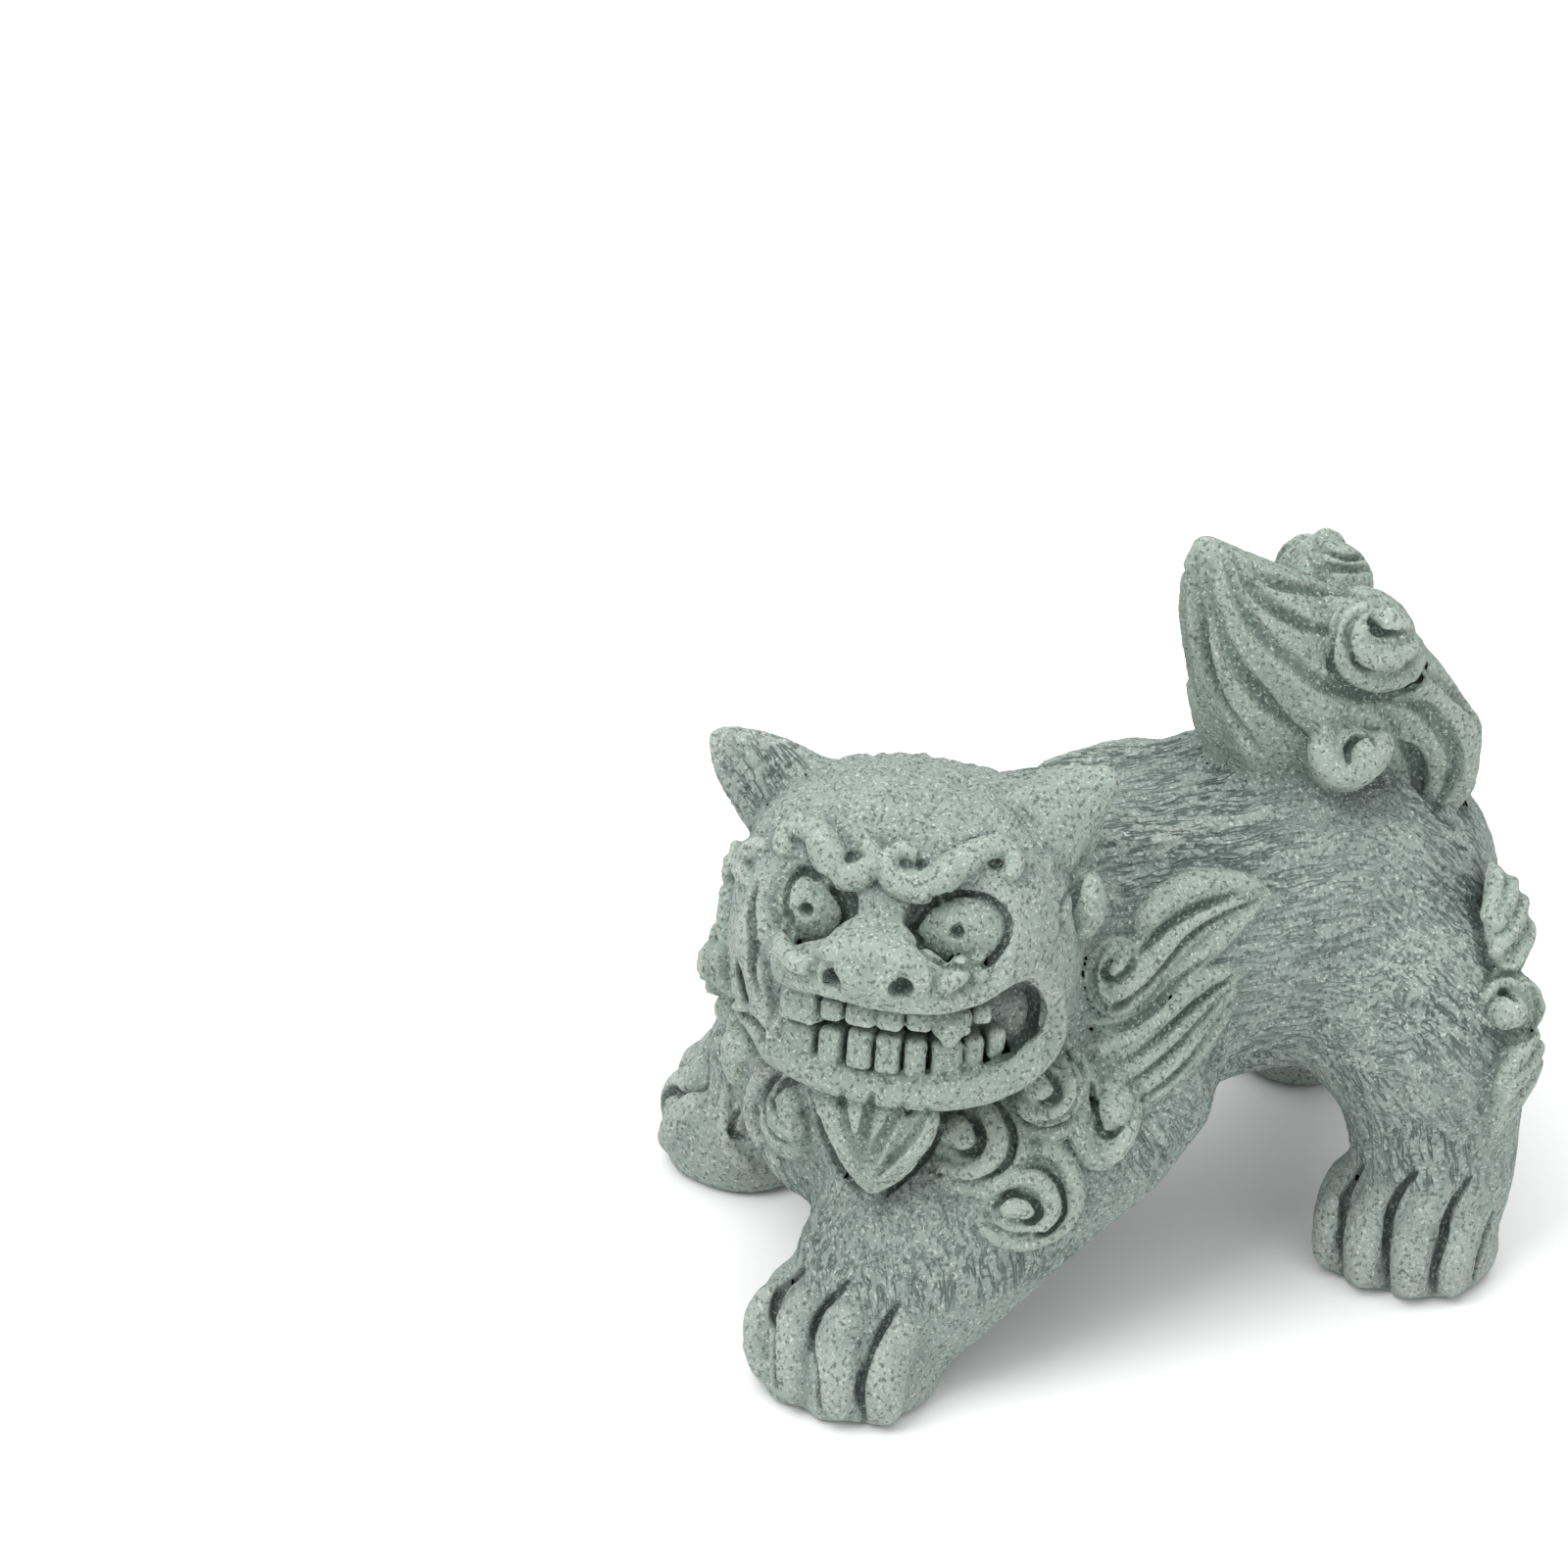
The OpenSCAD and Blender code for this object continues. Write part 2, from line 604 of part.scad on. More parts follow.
// tail plume: [middle, height, half length, half width], shares of tail_len, tail_h, tail_len, tail_w
tail_shares = [
    [0.53, -0.14, 0.33, 0.28],
    [0.52, 0.07, 0.44, 0.42],
    [0.49, 0.22, 0.47, 0.50],
    [0.42, 0.42, 0.43, 0.48],
    [0.32, 0.59, 0.36, 0.40],
    [0.20, 0.73, 0.24, 0.27],
    [0.11, 0.86, 0.13, 0.15],
    [0.05, 0.98, 0.03, 0.04]];
tail_front_share = 0.43;
tail_base_share = 0.955;
tail_ribs = 9;
tail_groove_share = 0.14;
module tail_form() {
    n = 36;
    m = 8;
    loft([for (j = [0:m])
        let (s = along(tail_shares, j / m))
        [for (i = [0:n - 1])
            let (
                t = 360 * i / n,
                rib = 1 - tail_groove_share * abs(cos(180 * tail_ribs * i / n)))
            [s[3] * tail_w * sin(t) * rib,
             (tail_front_share + s[0] + s[2] * cos(t) * rib) * tail_len,
             tail_base_share * back_h + s[1] * tail_h]]]);
}
// rear locks of the tail: [x, y, z, half width, half thickness],
// shares of tail_w, tail_len, tail_h, tail_w and tail_w
tail_rear_shares = [
    [0.15, 0.93, 0.60, 0.14, 0.12],
    [0.20, 1.11, 0.38, 0.24, 0.19],
    [0.23, 1.28, 0.12, 0.28, 0.22],
    [0.23, 1.28, -0.10, 0.25, 0.20],
    [0.22, 1.17, -0.27, 0.17, 0.15],
    [0.21, 1.06, -0.37, 0.03, 0.03]];
module tail_rear_form() {
    rows = [for (s = tail_rear_shares)
        [s[0] * tail_w, s[1] * tail_len, tail_base_share * back_h + s[2] * tail_h,
         s[3] * tail_w, s[4] * tail_w]];
    loft(limb(rows, [0, 1, 0.3], 1, 12, 7, 0.2));
}
// all that lies beyond the middle of the lion, where the two rear locks meet
module far_half() {
    translate([-tail_w, 0, 0]) cube([tail_w, trunk_len, back_h + tail_h]);
}
// curls on the left side of the tail: [x, y, z, azimuth, elevation, roll, width]
tail_curl_upper_shares = [0.34, 1.03, 0.60, 20, 25, 200, 1.16];
tail_curl_lower_shares = [0.46, 0.92, 0.14, 5, 5, 200, 1.00];
tail_curl_out_share = 1.2;
module tail_curl(s) {
    stand([s[0] * tail_w, s[1] * tail_len, tail_base_share * back_h + s[2] * tail_h], s[3], s[4], s[5])
        curl(s[6] * curl_w / 2, tail_curl_out_share * curl_out);
}

module flip() {
    mirror([1, 0, 0]) children();
}
// moves the whole lion so that the middle of its box stands over the origin
middle_shares = [0.0788, -0.0995];
module placed() {
    translate([middle_shares[0] * stance_w, middle_shares[1] * stance_len, 0]) children();
}
// cuts its child by the trunk and by the front leg of that side
module on_front(out) {
    difference() {
        children();
        trunk_form();
        front_leg_form(out);
    }
}
module on_hind(out) {
    difference() {
        children();
        trunk_form();
        hind_leg_form(out);
    }
}
module on_trunk() {
    difference() {
        children();
        trunk_form();
    }
}
module on_head() {
    difference() {
        children();
        head_form();
    }
}
module head_cut() {
    at_head() head_form();
}

module torso() {
    color(stone) placed() difference() {
        trunk_form();
        at_head() mouth_cut();
    }
}
module front_leg_left() {
    color(stone) placed() on_trunk() front_leg_form(0);
}
module front_leg_right() {
    color(stone) placed() flip() on_trunk() front_leg_form(front_right_out);
}
module hind_leg_left() {
    color(stone) placed() on_trunk() hind_leg_form(0);
}
module hind_leg_right() {
    color(stone) placed() flip() on_trunk() hind_leg_form(hind_right_out);
}
module front_paw_left() {
    color(stone) placed() on_front(0) front_paw_form(0);
}
module front_paw_right() {
    color(stone) placed() flip() on_front(front_right_out) front_paw_form(front_right_out);
}
module hind_paw_left() {
    color(stone) placed() on_hind(0) hind_paw_form(0);
}
module hind_paw_right() {
    color(stone) placed() flip() on_hind(hind_right_out) hind_paw_form(hind_right_out);
}
module head() {
    color(stone) placed() difference() {
        at_head() head_solid();
        trunk_form();
        front_leg_form(0);
    }
}
module lower_jaw() {
    color(stone) placed() difference() {
        at_head() jaw_solid();
        trunk_form();
        front_leg_form(0);
    }
}
module muzzle() {
    color(relief) placed() at_head() on_head() muzzle_form();
}
module nose() {
    color(relief) placed() at_head() on_head() difference() {
        nose_form();
        muzzle_form();
    }
}
module eye_left() {
    color(lids) placed() at_head() eye_form();
}
module eye_right() {
    color(lids) placed() at_head() flip() eye_form();
}
module brow_left() {
    color(relief) placed() at_head() on_head() brow_form();
}
module brow_right() {
    color(relief) placed() at_head() flip() on_head() brow_form();
}
module whisker_left() {
    color(relief) placed() at_head() on_head() difference() {
        whisker_form();
        muzzle_form();
        nose_form();
    }
}
module whisker_right() {
    color(relief) placed() at_head() on_head() difference() {
        flip() whisker_form();
        muzzle_form();
        nose_form();
    }
}
module ear_left() {
    color(relief) placed() on_trunk() at_head() on_head() ear_form();
}
module ear_right() {
    color(relief) placed() at_head() on_head() flip() ear_form();
}
module upper_teeth() {
    color(relief) placed() at_head() difference() {
        tooth_row(upper_tooth_shares, -1, 4);
        head_solid();
        muzzle_form();
    }
}
module lower_teeth() {
    color(relief) placed() at_head() difference() {
        tooth_row(lower_tooth_shares, 1, 3);
        jaw_solid();
    }
}
module beard() {
    color(relief) placed() on_front(0) at_head() on_head() beard_form();
}
module side_curl_left() {
    color(relief) placed() on_front(0) at_head() on_head() head_curl(side_curl_shares[0]);
}
module side_curl_right_upper() {
    color(relief) placed() on_trunk() at_head() on_head() head_curl(side_curl_shares[1]);
}
module side_curl_right_middle() {
    color(relief) placed() on_trunk() at_head() on_head() head_curl(side_curl_shares[2]);
}
module side_curl_right_lower() {
    color(relief) placed() on_trunk() at_head() on_head() head_curl(side_curl_shares[3]);
}
module shoulder_curl_left() {
    color(relief) placed() on_front(0) body_curl(shoulder_curl_shares);
}
module shoulder_curl_right() {
    color(relief) placed() flip() on_front(front_right_out) body_curl(shoulder_curl_shares);
}
module flame_upper_left() {
    color(relief) placed() difference() {
        on_front(0) lock_form(flame_upper_shares, [1, 0, 0.4]);
        body_curl(shoulder_curl_shares);
    }
}
module flame_upper_right() {
    color(relief) placed() flip() difference() {
        on_front(front_right_out) lock_form(flame_upper_shares, [1, 0, 0.4]);
        body_curl(shoulder_curl_shares);
    }
}
module flame_lower_left() {
    color(relief) placed() on_front(0) lock_form(flame_lower_shares, [1, 0, 0.2]);
}
module flame_lower_right() {
    color(relief) placed() flip() on_front(front_right_out)
        lock_form(flame_lower_shares, [1, 0, 0.2], front_right_out, front_back_share);
}
module neck_curl_left() {
    color(relief) placed() difference() {
        on_front(0) body_curl(neck_curl_shares);
        head_cut();
    }
}
module hook_curl_left() {
    color(relief) placed() on_front(0) body_curl(hook_curl_shares);
}
module chest_curl_left() {
    color(relief) placed() difference() {
        on_front(0) body_curl(chest_curl_shares);
        head_cut();
    }
}
module leg_curl_left() {
    color(relief) placed() on_front(0) body_curl(leg_curl_shares);
}
module throat_curl() {
    color(relief) placed() on_trunk() body_curl(throat_curl_shares);
}
module knob_curl() {
    color(relief) placed() on_trunk() body_curl(knob_curl_shares);
}
module mane_curl_1() {
    color(relief) placed() difference() {
        on_trunk() body_curl(mane_curl_shares[0]);
        head_cut();
    }
}
module mane_curl_2() {
    color(relief) placed() on_trunk() body_curl(mane_curl_shares[1]);
}
module mane_curl_3() {
    color(relief) placed() on_trunk() body_curl(mane_curl_shares[2]);
}
module mane_curl_4() {
    color(relief) placed() on_trunk() body_curl(mane_curl_shares[3]);
}
module mane_curl_5() {
    color(relief) placed() flip() on_front(front_right_out) flip() body_curl(mane_curl_shares[4]);
}
module nape_lock_left() {
    color(relief) placed() difference() {
        on_trunk() lock_form(nape_shares, [0, 0, 1]);
        head_cut();
    }
}
module nape_lock_right() {
    color(relief) placed() difference() {
        on_trunk() flip() lock_form(nape_shares, [0, 0, 1]);
        head_cut();
    }
}
module haunch_upper_left() {
    color(relief) placed() difference() {
        on_hind(0) lock_form(haunch_upper_shares, [1, 0.6, 0]);
        body_curl(haunch_curl_shares);
    }
}
module haunch_upper_right() {
    color(relief) placed() flip() difference() {
        on_hind(hind_right_out) lock_form(haunch_upper_shares, [1, 0.6, 0]);
        body_curl(haunch_curl_shares, hind_right_out, hind_back_share);
    }
}
module haunch_lower_left() {
    color(relief) placed() difference() {
        on_hind(0) lock_form(haunch_lower_shares, [1, 0.6, 0]);
        body_curl(haunch_curl_shares);
    }
}
module haunch_lower_right() {
    color(relief) placed() flip() difference() {
        on_hind(hind_right_out) lock_form(haunch_lower_shares, [1, 0.6, 0], hind_right_out, hind_back_share);
        body_curl(haunch_curl_shares, hind_right_out, hind_back_share);
    }
}
module haunch_curl_left() {
    color(relief) placed() on_hind(0) body_curl(haunch_curl_shares);
}
module haunch_curl_right() {
    color(relief) placed() flip() on_hind(hind_right_out)
        body_curl(haunch_curl_shares, hind_right_out, hind_back_share);
}
module tail_plume() {
    color(relief) placed() on_trunk() tail_form();
}
module tail_rear_half() {
    difference() {
        tail_rear_form();
        far_half();
        tail_form();
        trunk_form();
    }
}
module tail_rear_left() {
    color(relief) placed() tail_rear_half();
}
module tail_rear_right() {
    color(relief) placed() flip() tail_rear_half();
}
module tail_curl_upper_left() {
    color(relief) placed() difference() {
        tail_curl(tail_curl_upper_shares);
        tail_form();
        tail_rear_form();
    }
}
module tail_curl_upper_right() {
    color(relief) placed() flip() difference() {
        tail_curl(tail_curl_upper_shares);
        tail_form();
        tail_rear_form();
    }
}
module tail_curl_lower_left() {
    color(relief) placed() difference() {
        on_trunk() tail_curl(tail_curl_lower_shares);
        tail_form();
    }
}
module tail_curl_lower_right() {
    color(relief) placed() flip() difference() {
        on_trunk() tail_curl(tail_curl_lower_shares);
        tail_form();
    }
}

torso();
front_leg_left();
front_leg_right();
hind_leg_left();
hind_leg_right();
front_paw_left();
front_paw_right();
hind_paw_left();
hind_paw_right();
head();
lower_jaw();
muzzle();
nose();
eye_left();
eye_right();
brow_left();
brow_right();
whisker_left();
whisker_right();
ear_left();
ear_right();
upper_teeth();
lower_teeth();
beard();
side_curl_left();
side_curl_right_upper();
side_curl_right_middle();
side_curl_right_lower();
shoulder_curl_left();
shoulder_curl_right();
flame_upper_left();
flame_upper_right();
flame_lower_left();
flame_lower_right();
neck_curl_left();
hook_curl_left();
chest_curl_left();
leg_curl_left();
throat_curl();
knob_curl();
mane_curl_1();
mane_curl_2();
mane_curl_3();
mane_curl_4();
mane_curl_5();
nape_lock_left();
nape_lock_right();
haunch_upper_left();
haunch_upper_right();
haunch_lower_left();
haunch_lower_right();
haunch_curl_left();
haunch_curl_right();
tail_plume();
tail_rear_left();
tail_rear_right();
tail_curl_upper_left();
tail_curl_upper_right();
tail_curl_lower_left();
tail_curl_lower_right();
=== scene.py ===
"""The looks of a small carved stoneware lion: one lump of clay is built over the solids of the frame,
carved with locks, curls, teeth and fur, and then taken apart again into the pieces of the frame."""
import math

import bpy
import numpy as np
import openvdb
from mathutils import Matrix, Vector


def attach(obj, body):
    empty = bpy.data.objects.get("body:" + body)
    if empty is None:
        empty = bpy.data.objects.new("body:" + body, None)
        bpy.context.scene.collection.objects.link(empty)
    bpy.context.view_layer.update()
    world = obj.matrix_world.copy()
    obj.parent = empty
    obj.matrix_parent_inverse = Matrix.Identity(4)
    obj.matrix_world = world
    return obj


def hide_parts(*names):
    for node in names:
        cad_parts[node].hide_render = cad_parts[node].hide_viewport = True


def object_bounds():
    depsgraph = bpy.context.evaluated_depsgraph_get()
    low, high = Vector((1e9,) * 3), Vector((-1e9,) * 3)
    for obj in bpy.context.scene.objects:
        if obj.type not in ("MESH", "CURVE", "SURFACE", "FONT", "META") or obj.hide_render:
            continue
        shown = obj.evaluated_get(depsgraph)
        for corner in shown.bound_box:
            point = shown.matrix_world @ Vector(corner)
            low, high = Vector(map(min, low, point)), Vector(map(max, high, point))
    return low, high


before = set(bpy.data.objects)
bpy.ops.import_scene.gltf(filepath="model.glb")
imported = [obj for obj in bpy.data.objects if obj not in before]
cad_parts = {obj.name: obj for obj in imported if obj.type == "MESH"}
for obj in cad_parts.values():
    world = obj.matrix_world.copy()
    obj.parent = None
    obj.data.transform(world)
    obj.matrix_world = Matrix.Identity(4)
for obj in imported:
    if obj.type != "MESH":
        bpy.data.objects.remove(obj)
cad_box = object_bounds()

# all sizes are in millimetres, as in the part's source
MM = 0.001
# the grid's step, how far from the surface distances are kept, and the room round the lion
STEP = 0.25
FAR = 3.0
MARGIN = 3.0
SEED = 7
# the part's own stance, and how far its middle was moved
STANCE_W = 43.0
STANCE_LEN = 62.0
BACK_H = 55.0
MIDDLE_SHARE = 0.0788
MIDDLE_BACK_SHARE = 0.0995
MIDDLE = MIDDLE_SHARE * STANCE_W

# camera, after the photograph
PHOTO = 1600
PIXELS_PER_MM = 9
FOCAL = 7000.0
SENSOR = 36.0
VIEW_AZIMUTH = 71.871
VIEW_ELEVATION = 32.006
VIEW_AIM = np.array([-87.22, -4.21, 0.0])
VIEW_DISTANCE = 777.8
# rays start this far before the aim, and are followed in careful steps
RAY_LEAD = 160.0
RAY_TRIES = 160
RAY_CARE = 0.8
RAY_LEAST = 0.02
# how far apart two neighbours of a drawn line may land, before one of them has missed its ornament
MOST_JUMP = 3.5


def view_axes():
    """The camera's right, up and back directions."""
    az, el = math.radians(VIEW_AZIMUTH), math.radians(VIEW_ELEVATION)
    right = np.array([math.cos(az), math.sin(az), 0.0])
    back = np.array([math.sin(az) * math.cos(el), -math.cos(az) * math.cos(el), math.sin(el)])
    return right, np.cross(back, right), back


RIGHT, UP, BACK = view_axes()
EYE = VIEW_AIM + BACK * VIEW_DISTANCE


def pixel_rays(pixels):
    """Directions from the camera through pixels of the photograph."""
    p = np.asarray(pixels, float)
    ray = RIGHT * ((p[:, :1] - PHOTO / 2) / FOCAL) + UP * ((PHOTO / 2 - p[:, 1:2]) / FOCAL) - BACK
    return ray / np.linalg.norm(ray, axis=1, keepdims=True)


def make_camera():
    """The camera from which the photograph was taken."""
    data = bpy.data.cameras.new("photo_view")
    data.sensor_width = SENSOR
    data.lens = FOCAL / PHOTO * SENSOR
    data.clip_start = 0.05
    data.clip_end = 20
    cam = bpy.data.objects.new("photo_view", data)
    bpy.context.collection.objects.link(cam)
    turn = Matrix([(RIGHT[i], UP[i], BACK[i]) for i in range(3)])
    cam.matrix_world = Matrix.Translation(Vector(EYE * MM)) @ turn.to_4x4()
    bpy.context.scene.camera = cam


# clay on a grid, in millimetres
# points are pushed under the skin in steps no longer than this
DIP_STEP = 0.35
DIP_TRIES = 12


class Clay:
    """Distances to the surface, below zero inside, and the piece that each cell belongs to."""

    def __init__(self, low, high, step):
        self.step = step
        self.low = np.asarray(low, float)
        self.size = np.ceil((np.asarray(high) - self.low) / step).astype(int) + 1
        self.field = np.full(self.size, FAR, np.float32)
        self.owner = np.zeros(self.size, np.uint8)
        self.names = [""]
        self.rest = None
        self.core = None
        self.ear_tip = None

    def key(self, name):
        """The number by which cells know a piece."""
        if name not in self.names:
            self.names.append(name)
        return self.names.index(name)

    def region(self, low, high):
        """The cells between two corners, and their places."""
        a = np.clip(np.floor((np.asarray(low) - self.low) / self.step).astype(int), 0, self.size - 1)
        b = np.clip(np.ceil((np.asarray(high) - self.low) / self.step).astype(int) + 1, 1, self.size)
        where = tuple(slice(i, j) for i, j in zip(a, b))
        axes = [self.low[k] + self.step * np.arange(a[k], b[k]) for k in range(3)]
        grid = np.meshgrid(*axes, indexing="ij", sparse=True)
        return where, [g.astype(np.float32) for g in grid]

    def add(self, name, where, dist, blend):
        """Joins a form to the clay, softly over the blend, and marks the cells where it is the nearer."""
        old = self.field[where]
        mine = dist < old
        self.owner[where][mine] = self.key(name)
        h = np.clip(0.5 + 0.5 * (old - dist) / blend, 0, 1)
        self.field[where] = old + (dist - old) * h - blend * h * (1 - h)

    def cut(self, where, dist, blend):
        """Takes a form out of the clay."""
        old = self.field[where]
        h = np.clip(0.5 - 0.5 * (old + dist) / blend, 0, 1)
        self.field[where] = old + (-dist - old) * h + blend * h * (1 - h)

    def sample(self, points, data=None):
        """Distances at points between the cells."""
        data = self.field if data is None else data
        q = (np.asarray(points) - self.low) / self.step
        q = np.clip(q, 0, self.size - 1.001)
        i = q.astype(int)
        f = (q - i).astype(np.float32)
        out = 0
        for dx in (0, 1):
            for dy in (0, 1):
                for dz in (0, 1):
                    w = (f[:, 0] if dx else 1 - f[:, 0]) * (f[:, 1] if dy else 1 - f[:, 1])
                    w = w * (f[:, 2] if dz else 1 - f[:, 2])
                    out = out + w * data[i[:, 0] + dx, i[:, 1] + dy, i[:, 2] + dz]
        return out

    def normals(self, points, data=None):
        e = self.step
        g = [self.sample(points + d, data) - self.sample(points - d, data)
             for d in (np.array([e, 0, 0]), np.array([0, e, 0]), np.array([0, 0, e]))]
        n = np.stack(g, 1)
        return n / np.maximum(np.linalg.norm(n, axis=1, keepdims=True), 1e-9)

    def onto(self, points, data=None, tries=6):
        """Moves points to the nearest place of the surface."""
        p = np.array(points, float)
        for _ in range(tries):
            d = self.sample(p, data)
            p -= self.normals(p, data) * d[:, None]
        return p

    def cast(self, pixels, data=None):
        """Where the photograph's pixels meet the surface."""
        rays = pixel_rays(pixels)
        t = np.full(len(rays), VIEW_DISTANCE - RAY_LEAD)
        nearest, gap = t.copy(), np.full(len(rays), 1e9)
        for _ in range(RAY_TRIES):
            d = self.sample(EYE + rays * t[:, None], data)
            nearest, gap = np.where(np.abs(d) < gap, t, nearest), np.minimum(np.abs(d), gap)
            t += np.where(d > RAY_LEAST / 2, np.maximum(d * RAY_CARE, RAY_LEAST), d * RAY_CARE)
        return self.onto(EYE + rays * nearest[:, None], data, 4)

    def under(self, points, deep):
        """Points pushed in until they lie under the skin and inside the plain lump."""
        p = np.array(points, float)
        d = self.sample(p, self.core)
        for _ in range(DIP_TRIES):
            high = np.flatnonzero(d > -deep)
            if len(high) == 0:
                break
            step = np.minimum(d[high] + deep, DIP_STEP)
            new = p[high] - self.normals(p[high], self.core) * step[:, None]
            level = self.sample(new, self.core)
            better = level < d[high]
            p[high[better]] = new[better]
            d[high[better]] = level[better]
        return p


def cells_in(length):
    """A length in millimetres as a whole number of cells, at least one."""
    return max(1, int(round(length / STEP)))


def blurred(a, cells, times=2):
    """The mean over a box of cells to each side, taken more than once."""
    for _ in range(times):
        for axis in range(3):
            b = np.moveaxis(a, axis, 0)
            pad = np.concatenate([np.repeat(b[:1], cells + 1, 0), b, np.repeat(b[-1:], cells, 0)])
            c = np.cumsum(pad, 0, dtype=np.float32)
            a = np.moveaxis((c[2 * cells + 1:] - c[:-2 * cells - 1]) / (2 * cells + 1), 0, axis)
    return np.ascontiguousarray(a, np.float32)


def node_triangles(name):
    """A solid of the frame as points in millimetres and triangles."""
    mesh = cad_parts[name].data
    mesh.calc_loop_triangles()
    v = np.empty(len(mesh.vertices) * 3, np.float32)
    mesh.vertices.foreach_get("co", v)
    t = np.empty(len(mesh.loop_triangles) * 3, np.int32)
    mesh.loop_triangles.foreach_get("vertices", t)
    return v.reshape(-1, 3) / MM, t.reshape(-1, 3).astype(np.uint32)


def add_mesh(clay, name, points, triangles, blend, grow=0.0):
    """Adds a closed mesh to the clay."""
    low, high = points.min(0) - FAR, points.max(0) + FAR
    where, _ = clay.region(low, high)
    start = np.array([s.start for s in where])
    p = ((points - clay.low) / clay.step - start).astype(np.float32)
    grid = openvdb.FloatGrid.createLevelSetFromPolygons(
        np.ascontiguousarray(p), triangles=np.ascontiguousarray(triangles), halfWidth=FAR / clay.step)
    dist = np.empty([s.stop - s.start for s in where], np.float32)
    grid.copyToArray(dist, ijk=(0, 0, 0))
    clay.add(name, where, dist * clay.step - grow, blend)


def add_node(clay, node, blend, grow=0.0):
    """Lays a node's solid on the lump."""
    points, triangles = node_triangles(node)
    add_mesh(clay, node, points, triangles, blend, grow)


# strokes of the carver
def smooth_path(points, spacing):
    """A Catmull-Rom curve through the points, at even spacing."""
    p = np.asarray(points, float)
    p = np.concatenate([2 * p[:1] - p[1:2], p, 2 * p[-1:] - p[-2:-1]])
    out = []
    for i in range(1, len(p) - 2):
        t = np.linspace(0, 1, 12, endpoint=False)[:, None]
        a, b, c, d = p[i - 1:i + 3]
        out.append((2 * b + (c - a) * t + (2 * a - 5 * b + 4 * c - d) * t ** 2
                    + (3 * b - a - 3 * c + d) * t ** 3) / 2)
    q = np.concatenate(out + [p[-2:-1]])
    s = np.concatenate([[0], np.cumsum(np.linalg.norm(np.diff(q, axis=0), axis=1))])
    n = max(2, int(round(s[-1] / spacing)) + 1)
    at = np.linspace(0, s[-1], n)
    return np.stack([np.interp(at, s, q[:, k]) for k in range(q.shape[1])], 1)


def profile(radius, n, taper):
    """Radii along a stroke: a middle size with thinner ends."""
    t = np.linspace(0, 1, n)
    r = np.interp(t, np.linspace(0, 1, len(radius)), radius) if np.ndim(radius) else np.full(n, radius)
    ends = np.ones(n)
    if taper[0]:
        ends = np.minimum(ends, 0.35 + 0.65 * t / taper[0])
    if taper[1]:
        ends = np.minimum(ends, 0.35 + 0.65 * (1 - t) / taper[1])
    return r * ends


# the square of the length from which a link of a path counts as broken
BROKEN_LINK = 12.0


def tube(clay, path, radii, reach=1.6):
    """Distance to a round stroke along a path, whose links are short unless the path is broken."""
    most = radii.max() + reach
    low, high = path.min(0) - most, path.max(0) + most
    where, (x, y, z) = clay.region(low, high)
    dist = np.full([s.stop - s.start for s in where], FAR, np.float32)
    first = np.array([s.start for s in where])
    for a, b, ra, rb in zip(path[:-1], path[1:], radii[:-1], radii[1:]):
        r = max(ra, rb) + reach
        small, (sx, sy, sz) = clay.region(np.minimum(a, b) - r, np.maximum(a, b) + r)
        inner = tuple(slice(s.start - f, s.stop - f) for s, f in zip(small, first))
        ab = b - a
        ll = max(float(ab @ ab), 1e-9)
        if ll > BROKEN_LINK:
            continue
        h = np.clip(((sx - a[0]) * ab[0] + (sy - a[1]) * ab[1] + (sz - a[2]) * ab[2]) / ll, 0, 1)
        d = np.sqrt((sx - a[0] - ab[0] * h) ** 2 + (sy - a[1] - ab[1] * h) ** 2
                    + (sz - a[2] - ab[2] * h) ** 2) - (ra + (rb - ra) * h)
        np.minimum(dist[inner], d, out=dist[inner])
    return where, dist


def mirrored(points):
    """Points on the other side of the lion."""
    q = np.array(points)
    q[:, 0] = 2 * MIDDLE - q[:, 0]
    return q


def path_on(clay, pixels, mirror=False, spacing=0.5):
    """A path on the resting clay under a line of the photograph, or its mirror image on the far side.

    The mirror image may be moved by an offset, for a limb that stands elsewhere. Where a pixel misses
    the ornament and lands far behind it, the point takes the distance of its neighbours."""
    pix = smooth_path(pixels, spacing * PIXELS_PER_MM)
    p = clay.cast(pix, clay.rest)
    jump = np.linalg.norm(np.diff(p, axis=0), axis=1) > MOST_JUMP
    run = np.concatenate([[0], np.cumsum(jump)])
    lost = run != np.bincount(run).argmax()
    if lost.any():
        far = (EYE - p) @ BACK
        far = np.interp(np.arange(len(p)), np.flatnonzero(~lost), far[~lost])[lost]
        rays = pixel_rays(pix[lost])
        p[lost] = clay.onto(EYE - rays * (far / (rays @ BACK))[:, None], clay.rest)
    if mirror is not False:
        p = clay.onto(mirrored(p) + (0 if mirror is True else mirror), clay.rest)
    return p


def across(left, right):
    """How far a node on the right stands from the mirror image of its fellow on the left."""
    a, b = (node_triangles(n)[0] for n in (left, right))
    return (b.min(0) + b.max(0)) / 2 - mirrored(((a.min(0) + a.max(0)) / 2)[None])[0]


def ridge(clay, name, pixels, radius, lift=0.2, blend=0.5, taper=(0.2, 0.2), mirror=False):
    """A raised stroke under a line of the photograph, lifted a little out of the clay or sunk into it."""
    p = path_on(clay, pixels, mirror)
    r = profile(radius, len(p), taper)
    p = p + clay.normals(p, clay.rest) * (lift * (r / r.max()))[:, None]
    where, dist = tube(clay, p, r)
    clay.add(name, where, dist, blend)


